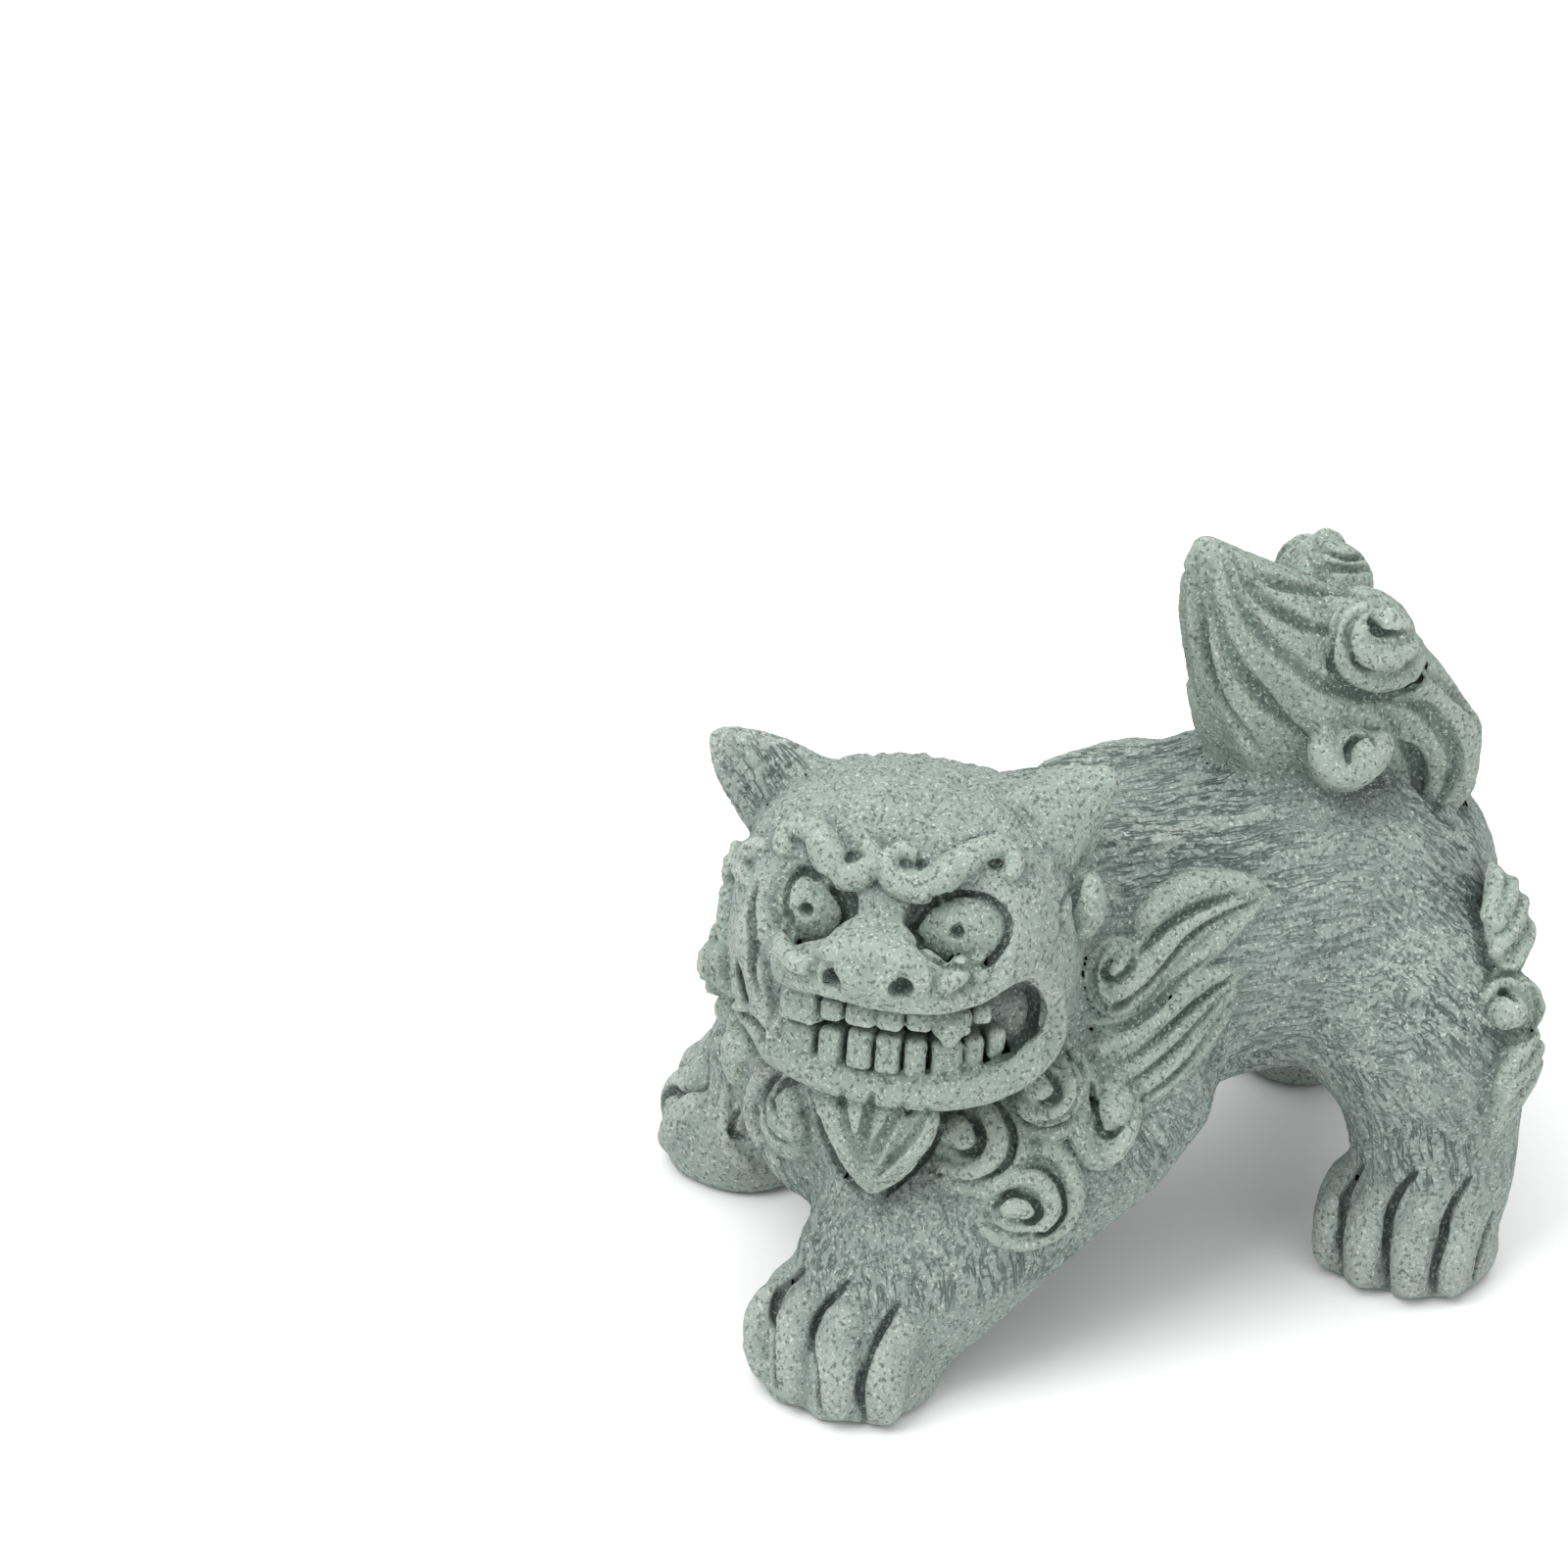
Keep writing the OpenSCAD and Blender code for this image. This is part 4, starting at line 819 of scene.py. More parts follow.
DARK_LINES = [
    (0.33, 0.6, [(1087, 1075), (1103, 1104), (1098, 1130), (1078, 1146), (1052, 1146), (1040, 1134)]),
    (0.33, 0.6, [(1012, 1120), (1032, 1150), (1031, 1180), (1012, 1199), (986, 1207), (958, 1198)]),
    (0.33, 0.6, [(1040, 1190), (1062, 1192), (1082, 1212), (1084, 1238), (1066, 1258), (1038, 1262),
                 (1012, 1252)]),
    (0.33, 0.6, [(802, 1090), (784, 1110), (779, 1138), (788, 1160), (808, 1170)]),
    (0.45, 0.8, [(772, 900), (765, 930), (768, 960), (767, 990), (774, 1020)]),
    (0.33, 0.5, [(1112, 886), (1100, 900), (1096, 924), (1098, 948)]),
    (0.42, 0.75, [(1158, 969), (1156, 984), (1148, 995), (1139, 1001), (1130, 1000), (1127, 989),
                  (1134, 980)]),
    (0.45, 0.9, [(1063, 1089), (1079, 1105), (1079, 1120), (1066, 1127), (1058, 1124)]),
    (0.5, 1.0, [(972, 1133), (990, 1140), (1001, 1156), (999, 1172), (984, 1178), (974, 1172)]),
    (0.45, 0.9, [(1014, 1233), (1030, 1218), (1050, 1222), (1060, 1236), (1052, 1246), (1040, 1244)]),
    (0.45, 1.1, [(1115, 1104), (1118, 1132), (1122, 1156), (1133, 1159), (1145, 1150)]),
    (0.42, 0.6, [(823, 1103), (801, 1106), (789, 1124), (791, 1142), (802, 1150)]),
    (0.4, 0.8, [(756, 1132), (747, 1140), (748, 1156), (760, 1164)]),
    (0.45, 0.9, [(736, 1050), (742, 1040), (758, 1038), (774, 1048), (778, 1066)]),
    (0.4, 0.7, [(1345, 548), (1352, 560), (1375, 568), (1400, 566)]),
    (0.4, 0.7, [(1330, 562), (1345, 574), (1370, 580), (1402, 580)])]
BOTH_LINES = [
    (0.45, 1.1, [(1530, 1012), (1540, 1014), (1549, 1020)]),
    (0.4, 0.8, [(1512, 1012), (1522, 998), (1546, 994), (1566, 1008), (1571, 1034), (1560, 1056),
                (1536, 1066)]),
    (0.5, 1.3, [(1402, 627), (1400, 636), (1408, 646), (1424, 649), (1438, 645)]),
    (0.4, 0.7, [(1400, 620), (1380, 634), (1374, 656), (1385, 677), (1406, 685), (1430, 680), (1448, 666)]),
    (0.5, 0.9, [(1392, 609), (1370, 621), (1359, 642), (1356, 668), (1367, 696), (1396, 708), (1424, 708),
                (1450, 696), (1459, 676)]),
    (0.45, 1.3, [(1376, 778), (1375, 764), (1384, 753), (1398, 751), (1404, 760)])]
TOES = {
    "front_paw": [
        ([1.6, 2.2, 2.0, 1.5], [(786, 1316), (774, 1346), (772, 1380), (778, 1402)]),
        ([1.8, 2.4, 2.2, 1.6], [(822, 1322), (808, 1356), (808, 1400), (812, 1430)]),
        ([2.0, 2.5, 2.3, 1.7], [(868, 1338), (854, 1372), (854, 1414), (856, 1445)]),
        ([2.0, 2.5, 2.3, 1.7], [(924, 1352), (910, 1384), (906, 1422), (906, 1450)])],
    "hind_paw": [
        ([1.4, 1.9, 1.8, 1.3], [(1364, 1220), (1354, 1246), (1350, 1274), (1351, 1290)]),
        ([1.6, 2.3, 2.1, 1.6], [(1408, 1216), (1395, 1246), (1391, 1282), (1393, 1310)]),
        ([1.6, 2.3, 2.2, 1.6], [(1458, 1226), (1444, 1256), (1439, 1290), (1438, 1320)]),
        ([1.4, 2.0, 1.9, 1.4], [(1504, 1240), (1492, 1268), (1485, 1296), (1482, 1320)])]}
BEARD_LOBES = [
    ([1.5, 1.6, 1.2, 0.8], [(843, 1112), (850, 1140), (862, 1172), (876, 1198)]),
    ([1.5, 1.6, 1.2, 0.8], [(876, 1118), (875, 1146), (878, 1176), (883, 1204)]),
    ([1.5, 1.6, 1.2, 0.8], [(912, 1126), (903, 1152), (893, 1180), (886, 1204)]),
    ([1.4, 1.6, 1.3, 0.8], [(948, 1130), (938, 1158), (920, 1182), (894, 1204)])]
TAIL_FLUTES = [
    (0.8, 0.7, [(1207, 573), (1203, 616), (1205, 653), (1212, 691), (1222, 717)]),
    (0.9, 0.8, [(1219, 564), (1219, 605), (1226, 651), (1239, 697), (1259, 737), (1288, 768)]),
    (0.9, 0.8, [(1233, 576), (1233, 610), (1245, 651), (1262, 682), (1285, 708), (1305, 731), (1334, 754)]),
    (0.9, 0.8, [(1251, 573), (1262, 602), (1276, 633), (1294, 656), (1317, 674), (1348, 697), (1380, 708),
                (1414, 714), (1454, 722)]),
    (0.8, 0.7, [(1261, 567), (1276, 596), (1299, 619), (1328, 636), (1360, 648)]),
    (0.8, 0.7, [(1273, 577), (1299, 593), (1334, 600), (1368, 603), (1394, 610)]),
    (0.9, 0.9, [(1454, 685), (1480, 702), (1503, 725), (1517, 754), (1520, 780), (1512, 806), (1483, 831)]),
    (0.9, 0.9, [(1426, 714), (1454, 725), (1474, 748), (1486, 774), (1480, 803), (1464, 826)]),
    (0.9, 0.9, [(1428, 757), (1443, 774), (1449, 797), (1454, 814)])]
TOE_LINES = {
    "front_paw": [
        (0.8, 1.0, [(820, 1296), (795, 1320), (788, 1356), (788, 1388), (791, 1416)]),
        (0.8, 1.0, [(864, 1310), (837, 1338), (829, 1372), (832, 1404), (836, 1438)]),
        (0.8, 1.0, [(916, 1334), (896, 1361), (883, 1391), (877, 1420), (882, 1454)])],
    "hind_paw": [
        (0.8, 1.0, [(1390, 1188), (1374, 1218), (1370, 1247), (1366, 1272), (1368, 1302)]),
        (0.8, 1.0, [(1444, 1198), (1423, 1224), (1416, 1257), (1415, 1287), (1415, 1320)]),
        (0.8, 1.0, [(1500, 1204), (1480, 1236), (1471, 1266), (1464, 1293), (1462, 1322)]),
        (0.6, 0.7, [(1524, 1238), (1512, 1275), (1504, 1308)])]}
BEARD_LINES = [
    (0.5, 0.7, [(832, 1124), (837, 1146), (846, 1172), (862, 1198), (880, 1214)]),
    (0.5, 0.7, [(966, 1132), (956, 1158), (940, 1182), (914, 1204), (890, 1216)]),
    (0.6, 0.85, [(890, 1117), (885, 1145), (881, 1170), (877, 1200)]),
    (0.6, 0.85, [(922, 1127), (907, 1153), (893, 1175), (882, 1202)]),
    (0.4, 0.55, [(858, 1110), (862, 1140), (869, 1170), (876, 1198)]),
    (0.4, 0.55, [(946, 1130), (932, 1158), (910, 1182), (892, 1202)])]


MOUTH_DEEP = 9.5
MOUTH_ROOM = ((3.0, -6.0, -5.0), (12.0, 5.5, 6.5))
CHEEK_R = 2.6
CHEEK_BOW = 0.8
CHEEK_SUNK = 2.0
TOOTH_DEEP = 1.9
TOOTH_EDGE = 0.6
TOOTH_SHARES = {"upper_teeth": 0.93, "lower_teeth": 0.86}
HEAD_ROOM = 24


def open_mouth(clay):
    """The mouth cut out along its outline in the photograph, with a room behind it and a cheek beside it."""
    low, high = HEAD_AT - HEAD_ROOM, HEAD_AT + HEAD_ROOM
    where, seen, (x, y, z) = seen_outline(clay, MOUTH, low, high)
    side = HEAD[1]
    across_head = (x - HEAD_AT[0]) * side[0] + (y - HEAD_AT[1]) * side[1] + (z - HEAD_AT[2]) * side[2]
    clay.cut(where, np.maximum(seen, across_head + MOUTH_DEEP).astype(np.float32), 0.8)
    where, dist = ball(clay, from_head(MOUTH_ROOM[0]), MOUTH_ROOM[1], HEAD)
    clay.add("head", where, dist, 0.5)
    ends = clay.cast(CHEEK_ENDS, clay.rest)
    bow = [ends[0], ends.mean(0) + BACK * CHEEK_BOW, ends[1]]
    cheek = smooth_path(bow, 0.5) - BACK * CHEEK_SUNK
    where, dist = tube(clay, cheek, np.full(len(cheek), CHEEK_R))
    clay.add("head", where, dist, 1.0)
    ridge(clay, "lower_jaw", LOWER_LIP[1], LOWER_LIP[0], -0.3, 0.8, (0.15, 0.15))
    ridge(clay, "muzzle", UPPER_LIP[1], UPPER_LIP[0], -0.3, 0.8, (0.15, 0.15))


def set_teeth(clay):
    """Each tooth a rounded block, in a bowed row behind the lip."""
    for node, teeth, depth in (("upper_teeth", UPPER_TEETH, TEETH_DEPTH[0]),
                               ("lower_teeth", LOWER_TEETH, TEETH_DEPTH[1])):
        for u, v, wide, tall in teeth:
            at = on_face_plane([(u, v)], depth)[0]
            at = on_face_plane([(u, v)], depth - TEETH_BOW * at[0] ** 2)[0]
            half = (wide / (2 * PIXELS_PER_MM) * TOOTH_SHARES[node], TOOTH_DEEP,
                    tall / (2 * PIXELS_PER_MM) - 0.1)
            turn = math.atan(-2 * TEETH_BOW * at[0])
            c, s = math.cos(turn), math.sin(turn)
            axes = np.array([c * HEAD[0] - s * HEAD[1], s * HEAD[0] + c * HEAD[1], HEAD[2]])
            where, dist = block(clay, from_head(at), half, axes, TOOTH_EDGE)
            clay.add(node, where, dist, 0.12)
    radius, pixels = FANG_TIP
    p = from_head(on_face_plane(smooth_path(pixels, 4.0), TEETH_DEPTH[0] - 0.4))
    where, dist = tube(clay, p, profile(radius, len(p), (0, 0)))
    clay.add("upper_teeth", where, dist, 0.3)


def add_face(clay):
    """Mouth, teeth, eyes, brows and nose, each where the photograph has it."""
    open_mouth(clay)
    set_teeth(clay)
    for node, (centre, half, forward, _, _) in EYES.items():
        at = clay.cast([centre], clay.rest)[0]
        axes = np.array([HEAD[0], HEAD[2], HEAD[1]])
        where, dist = ball(clay, at + HEAD[1] * (half[2] - forward), half, axes)
        clay.add(node, where, dist, 0.25)
    for node, (radius, pixels) in BROWS.items():
        ridge(clay, node, pixels, radius, 0.35, 0.3, (0.05, 0.05))
    for spot, size in NOSE_WINGS:
        at = clay.cast([spot], clay.field)[0]
        where, dist = ball(clay, at + HEAD[1] * size * 0.75, np.full(3, size))
        clay.add("nose", where, dist, 0.8)
    for node, (radius, pixels) in WHISKERS.items():
        ridge(clay, node, pixels, radius, 0.4, 0.3, (0.1, 0.1))


PUPIL = (0.75, 1.3, 0.75)
BROW_HOLE = (0.55, 1.0, 0.5)


def hole(clay, spot, half, blend):
    """A small rounded hole into the head under a pixel."""
    where, dist = ball(clay, clay.cast([spot])[0], half, HEAD)
    clay.cut(where, dist, blend)


def cut_face(clay):
    """Rims and pupils of the eyes, the holes of brows and nose, and the lines of the face."""
    for _, _, _, pupil, rim in EYES.values():
        groove(clay, rim + [rim[0]], 0.4, 0.9, 0.25, (0, 0))
        hole(clay, pupil, PUPIL, 0.2)
    for spot in BROW_HOLES:
        hole(clay, spot, BROW_HOLE, 0.25)
    for spot, half in NOSTRILS:
        hole(clay, spot, half, 0.3)
    for radius, depth, pixels in FACE_LINES:
        groove(clay, pixels, radius, depth, 0.3)


def pebble(clay, node, share=(1.0, 1.0, 1.0), sink=0.0, blend=0.6):
    """A rounded lump of clay where a node sits, with the node's own proportions."""
    points, _ = node_triangles(node)
    centre = (points.min(0) + points.max(0)) / 2
    _, axes = np.linalg.eigh(np.cov((points - centre).T))
    reach = np.abs((points - centre) @ axes)
    half = np.percentile(reach, 97, axis=0) * np.array(share)
    way = clay.normals(centre[None], clay.rest)[0]
    where, dist = ball(clay, centre - way * sink, half, axes.T)
    clay.add(node, where, dist, blend)


def ridges(clay, node, lines, lift=-0.1, blend=0.3, mirror=False):
    """Strokes of one ornament; a stroke may have a lift and a blend of its own."""
    for radius, pixels, *bed in lines:
        ridge(clay, node, pixels, radius, *(bed or (lift, blend)), (0.1, 0.1), mirror)


def volute_tree():
    """A lock of hair that winds inwards, as a tree with its own sizes."""
    tree = bpy.data.node_groups.new("volute", "GeometryNodeTree")
    face = tree.interface
    face.new_socket("Mesh", in_out="OUTPUT", socket_type="NodeSocketGeometry")
    for name, value in (("Turns", 1.6), ("Outer", 3.6), ("Inner", 0.7), ("Thick", 1.1), ("Thin", 0.6)):
        face.new_socket(name, in_out="INPUT", socket_type="NodeSocketFloat").default_value = value
    way_in = tree.nodes.new("NodeGroupInput")
    way_out = tree.nodes.new("NodeGroupOutput")

    def node(kind, **settings):
        n = tree.nodes.new(kind)
        for key, value in settings.items():
            setattr(n, key, value)
        return n

    def link(a, b):
        tree.links.new(a, b)

    spiral = node("GeometryNodeCurveSpiral")
    spiral.inputs["Resolution"].default_value = 22
    spiral.inputs["Height"].default_value = 0.0
    link(way_in.outputs["Turns"], spiral.inputs["Rotations"])
    link(way_in.outputs["Outer"], spiral.inputs["Start Radius"])
    link(way_in.outputs["Inner"], spiral.inputs["End Radius"])
    along = node("GeometryNodeSplineParameter")
    size = node("ShaderNodeMapRange")
    link(along.outputs["Factor"], size.inputs["Value"])
    link(way_in.outputs["Thick"], size.inputs["To Min"])
    link(way_in.outputs["Thin"], size.inputs["To Max"])
    radius = node("GeometryNodeSetCurveRadius")
    link(spiral.outputs["Curve"], radius.inputs["Curve"])
    link(size.outputs["Result"], radius.inputs["Radius"])
    rim = node("GeometryNodeCurvePrimitiveCircle")
    rim.inputs["Resolution"].default_value = 10
    rim.inputs["Radius"].default_value = 1.0
    body = node("GeometryNodeCurveToMesh")
    body.inputs["Fill Caps"].default_value = True
    link(radius.outputs["Curve"], body.inputs["Curve"])
    link(rim.outputs["Curve"], body.inputs["Profile Curve"])
    if "Scale" in body.inputs:
        again = node("GeometryNodeInputRadius")
        link(again.outputs[0], body.inputs["Scale"])
    real = node("GeometryNodeRealizeInstances")
    link(body.outputs["Mesh"], real.inputs["Geometry"])
    finish = node("GeometryNodeSetMaterial")
    finish.inputs["Material"].default_value = RELIEF
    link(real.outputs["Geometry"], finish.inputs["Geometry"])
    link(finish.outputs["Geometry"], way_out.inputs["Mesh"])
    return tree


def plain_mesh(tree, **sizes):
    """The points and triangles that a tree makes with these sizes."""
    obj = bpy.data.objects.new("pattern", bpy.data.meshes.new("pattern"))
    bpy.context.collection.objects.link(obj)
    mod = obj.modifiers.new("pattern", "NODES")
    mod.node_group = tree
    for item in tree.interface.items_tree:
        if item.item_type == "SOCKET" and item.in_out == "INPUT" and item.name in sizes:
            mod[item.identifier] = float(sizes[item.name])
    graph = bpy.context.evaluated_depsgraph_get()
    mesh = bpy.data.meshes.new_from_object(obj.evaluated_get(graph))
    bpy.data.objects.remove(obj)
    mesh.calc_loop_triangles()
    v = np.empty(len(mesh.vertices) * 3, np.float32)
    mesh.vertices.foreach_get("co", v)
    t = np.empty(len(mesh.loop_triangles) * 3, np.int32)
    mesh.loop_triangles.foreach_get("vertices", t)
    bpy.data.meshes.remove(mesh)
    return v.reshape(-1, 3), t.reshape(-1, 3).astype(np.uint32)


# a wound lock's sizes as shares of its node's reach: outer turn, inner turn, strand at both ends, lift, knob
WOUND_SHARES = {"Outer": 0.78, "Inner": 0.14, "Thick": 0.24, "Thin": 0.17}
WOUND_LIFT = 0.07
KNOB_LIFT = 0.06
KNOB_SHARE = 0.26


def volute(clay, tree, node, turns, hand, spin, size):
    """A winding lock laid on the clay where a node sits."""
    points, _ = node_triangles(node)
    centre = (points.min(0) + points.max(0)) / 2
    centre = clay.onto(centre[None], clay.rest)[0]
    up = clay.normals(centre[None], clay.rest)[0]
    reach = np.percentile(np.linalg.norm(points - centre, axis=1), 80) * size
    sizes = {name: reach * share for name, share in WOUND_SHARES.items()}
    shape, triangles = plain_mesh(tree, Turns=turns, **sizes)
    side = np.cross([0, 0, 1.0], up)
    side /= np.linalg.norm(side)
    over = np.cross(up, side)
    c, s = math.cos(math.radians(spin)), math.sin(math.radians(spin))
    u = hand * (shape[:, 0] * c - shape[:, 1] * s)
    v = shape[:, 0] * s + shape[:, 1] * c
    flat = centre + np.outer(u, side) + np.outer(v, over)
    flat = clay.onto(flat, clay.rest, 4)
    out = clay.normals(flat, clay.rest)
    laid = flat + out * (shape[:, 2:3] + reach * WOUND_LIFT)
    add_mesh(clay, node, laid.astype(np.float32), triangles, 0.35)
    middle = clay.onto(centre[None], clay.rest)
    knob_at = middle[0] + clay.normals(middle, clay.rest)[0] * reach * KNOB_LIFT
    where, dist = ball(clay, knob_at, np.full(3, reach * KNOB_SHARE))
    clay.add(node, where, dist, 0.3)


# node, turns, hand, how far it is spun round in degrees, and its share of the node's size
LAID_CURLS = [
    ("side_curl_right_upper", 1.5, -1, 200, 1.1), ("side_curl_right_middle", 1.6, 1, 160, 1.1),
    ("side_curl_right_lower", 1.6, -1, 140, 1.1), ("mane_curl_1", 1.7, 1, 200, 1.05),
    ("mane_curl_2", 1.8, -1, 20, 1.05), ("mane_curl_3", 1.7, 1, 250, 1.05),
    ("mane_curl_4", 1.7, -1, 160, 1.05), ("mane_curl_5", 1.7, 1, 210, 1.1)]


BOTH_SIDES = (("left", False), ("right", True))
# what takes the node's own solid: the join's blend, and how much it is slimmed
SOLID_RELIEFS = [(("nose",), 0.9, 0.0), (("beard",), 0.6, -0.8),
                 (("nape_lock_left", "nape_lock_right"), 1.2, -0.35),
                 (("side_curl_left",), 0.4, 0.0),
                 (("haunch_upper_left", "haunch_upper_right", "haunch_lower_left", "haunch_lower_right"),
                  0.6, -0.25)]
# what starts as a rounded lump: shares of its own size, how deep it sits, and the join's blend
PEBBLES = [(("tail_curl_upper_left", "tail_curl_upper_right", "tail_curl_lower_left",
             "tail_curl_lower_right",
             "haunch_curl_left", "haunch_curl_right"), (1.0, 0.9, 0.9), 0.5, 0.8),
           (("neck_curl_left",), (0.9, 0.9, 0.9), 0.8, 1.0),
           (("chest_curl_left",), (0.9, 0.9, 0.9), 0.7, 1.0),
           (("leg_curl_left", "hook_curl_left"), (0.9, 0.9, 0.9), 0.9, 1.0),
           (("throat_curl",), (0.9, 0.9, 0.9), 0.3, 1.0),
           (("shoulder_curl_left", "shoulder_curl_right"), (0.9, 0.9, 0.9), 1.0, 1.0),
           (("side_curl_right_upper", "side_curl_right_middle", "side_curl_right_lower", "knob_curl"),
            (1.12, 1.12, 1.12), 0.0, 0.5)]
FRONT_CURLS = [("leg_curl_left", LEG_CURL), ("hook_curl_left", HOOK_CURL), ("chest_curl_left", CHEST_CURL),
               ("neck_curl_left", NECK_CURL), ("throat_curl", THROAT_CURL), ("knob_curl", KNOB_CURL)]


def lay_beds(clay):
    """The lumps of clay that the ornaments are cut from."""
    for nodes, blend, grow in SOLID_RELIEFS:
        for node in nodes:
            add_node(clay, node, blend, grow)
    for nodes, share, sink, blend in PEBBLES:
        for node in nodes:
            pebble(clay, node, share, sink, blend)
    clay.field = blurred(clay.field, 1)
    clay.rest = clay.field.copy()


def raise_front(clay):
    """Flames, curls of the mane, beard, toes and the left ear's roots."""
    for side, mirror in BOTH_SIDES:
        ridges(clay, "flame_lower_" + side, LOWER_FLAME, mirror=mirror)
        ridges(clay, "flame_upper_" + side, UPPER_FLAME, mirror=mirror)
        ridges(clay, "shoulder_curl_" + side, SHOULDER_SPIRAL, mirror=mirror)
    for node, lines in FRONT_CURLS:
        ridges(clay, node, lines)
    ridges(clay, "side_curl_left", SIDEBURN, 0.0)
    for node, lines in SCALLOPS.items():
        ridges(clay, node, lines, 0.0)
    ridges(clay, "beard", BEARD_LOBES, -0.6, 0.4)
    for paw, toes in TOES.items():
        ridges(clay, paw + "_left", toes, -0.95, 0.6)
        ridges(clay, paw + "_right", toes, -0.95, 0.6, across(paw + "_left", paw + "_right"))
    for root in EAR_ROOTS:
        root = clay.cast([root], clay.rest)[0]
        path = smooth_path([clay.ear_tip + (root - clay.ear_tip) * 0.15, root], 0.5)
        where, dist = tube(clay, path, np.linspace(0.8, 1.9, len(path)))
        clay.add("ear_left", where, dist, 1.6)
    clay.rest = clay.field.copy()


def raise_rear(clay):
    """Locks and curls of the haunches and the tail, and the wound locks of the hidden side."""
    for side, mirror in BOTH_SIDES:
        ridges(clay, "haunch_upper_" + side, HAUNCH_UPPER, -0.1, mirror=mirror)
        ridges(clay, "haunch_lower_" + side, HAUNCH_LOWER, -0.1, mirror=mirror)
        ridges(clay, "haunch_curl_" + side, HAUNCH_SPIRAL, 0.0, mirror=mirror)
        ridges(clay, "tail_curl_lower_" + side, TAIL_LOWER, -0.2, mirror=mirror)
        ridges(clay, "tail_curl_upper_" + side, TAIL_UPPER, -0.2, mirror=mirror)
    tree = volute_tree()
    for node, turns, hand, spin, size in LAID_CURLS:
        volute(clay, tree, node, turns, hand, spin, size)
    clay.rest = clay.field.copy()


def cut_lines(clay):
    """Flutes and grooves: those of both sides, those of the seen side, and those between the toes."""
    for lines, deeper, blend in ((TAIL_FLUTES, 1.2, 0.35), (FLAME_GROOVES, 1.0, 0.25),
                                 (BOTH_LINES, 1.0, 0.2)):
        for radius, depth, pixels in lines:
            for mirror in (False, True):
                groove(clay, pixels, radius, depth * deeper, blend, mirror=mirror)
    for radius, depth, pixels in DARK_LINES + BEARD_LINES:
        groove(clay, pixels, radius * 1.1, depth * 1.35, 0.2)
    for paw, lines in TOE_LINES.items():
        for radius, depth, pixels in lines:
            for mirror in (False, across(paw + "_left", paw + "_right")):
                groove(clay, pixels, radius * 0.5, depth * 1.4, 0.4, mirror=mirror)


def add_reliefs(clay):
    """All the carving, in the order in which it is laid on and cut."""
    lay_beds(clay)
    add_face(clay)
    raise_front(clay)
    raise_rear(clay)
    cut_lines(clay)
    cut_face(clay)


# from clay to pieces
def skin_of(clay):
    """The clay's surface as points in millimetres, faces, and a piece for each face."""
    grid = openvdb.FloatGrid(FAR)
    grid.copyFromArray(np.ascontiguousarray(clay.field))
    points, quads = grid.convertToQuads(isovalue=0.0)
    points = points.astype(np.float64) * clay.step + clay.low
    a, b, c, d = (points[quads[:, k]] for k in range(4))
    volume = np.einsum("ij,ij->i", a, np.cross(b, c)).sum() + np.einsum("ij,ij->i", a, np.cross(c, d)).sum()
    if volume < 0:
        quads = quads[:, ::-1]
    middle = (a + b + c + d) / 4
    cell = np.clip(np.rint((middle - clay.low) / clay.step).astype(int), 0, clay.size - 1)
    label = clay.owner[cell[:, 0], cell[:, 1], cell[:, 2]].astype(np.int32)
    return points, quads.astype(np.int64), label


def edge_table(quads):
    """For each edge its two ends, and the two faces beside it (or -1)."""
    f = np.repeat(np.arange(len(quads)), 4)
    a = quads.reshape(-1)
    b = np.roll(quads, -1, axis=1).reshape(-1)
    low, high = np.minimum(a, b), np.maximum(a, b)
    order = np.lexsort((high, low))
    low, high, f = low[order], high[order], f[order]
    first = np.ones(len(low), bool)
    first[1:] = (low[1:] != low[:-1]) | (high[1:] != high[:-1])
    at = np.flatnonzero(first)
    count = np.diff(np.append(at, len(low)))
    second = np.where(count > 1, f[np.minimum(at + 1, len(f) - 1)], -1)
    return low[at], high[at], f[at], second, count


def islands(count, pairs):
    """Number of each face's island, where pairs of faces belong together."""
    mark = np.arange(count)
    while True:
        old = mark.copy()
        low = np.minimum(mark[pairs[:, 0]], mark[pairs[:, 1]])
        np.minimum.at(mark, pairs[:, 0], low)
        np.minimum.at(mark, pairs[:, 1], low)
        np.minimum.at(mark, old, mark)
        for _ in range(4):
            mark = mark[mark]
        if (mark == old).all():
            return mark


def settle(quads, label, names):
    """Takes away stray specks, so that each piece is one patch of the skin."""
    _, _, f, g, _ = edge_table(quads)
    pair = np.stack([f, g], 1)[g >= 0]
    kinds = len(names)
    for turn in range(3):
        votes = np.zeros((len(quads), kinds), np.int8)
        np.add.at(votes, (pair[:, 0], label[pair[:, 1]]), 1)
        np.add.at(votes, (pair[:, 1], label[pair[:, 0]]), 1)
        votes[np.arange(len(quads)), label] += 2 if turn < 2 else 1
        label = votes.argmax(1).astype(np.int32)
    for _ in range(6):
        same = pair[label[pair[:, 0]] == label[pair[:, 1]]]
        mark = islands(len(quads), same)
        root, back, size = np.unique(mark, return_inverse=True, return_counts=True)
        biggest = np.zeros(kinds, int)
        np.maximum.at(biggest, label[root], size)
        small = (size < biggest[label[root]])[back]
        if not small.any():
            break
        votes = np.zeros((len(quads), kinds), np.int8)
        rim = pair[small[pair[:, 0]] & ~small[pair[:, 1]]]
        np.add.at(votes, (rim[:, 0], label[rim[:, 1]]), 1)
        rim = pair[small[pair[:, 1]] & ~small[pair[:, 0]]]
        np.add.at(votes, (rim[:, 1], label[rim[:, 0]]), 1)
        total = np.zeros((len(root), kinds), int)
        np.add.at(total, back, votes)
        new = total.argmax(1)[back]
        label = np.where(small & (total.max(1)[back] > 0), new, label).astype(np.int32)
    return label


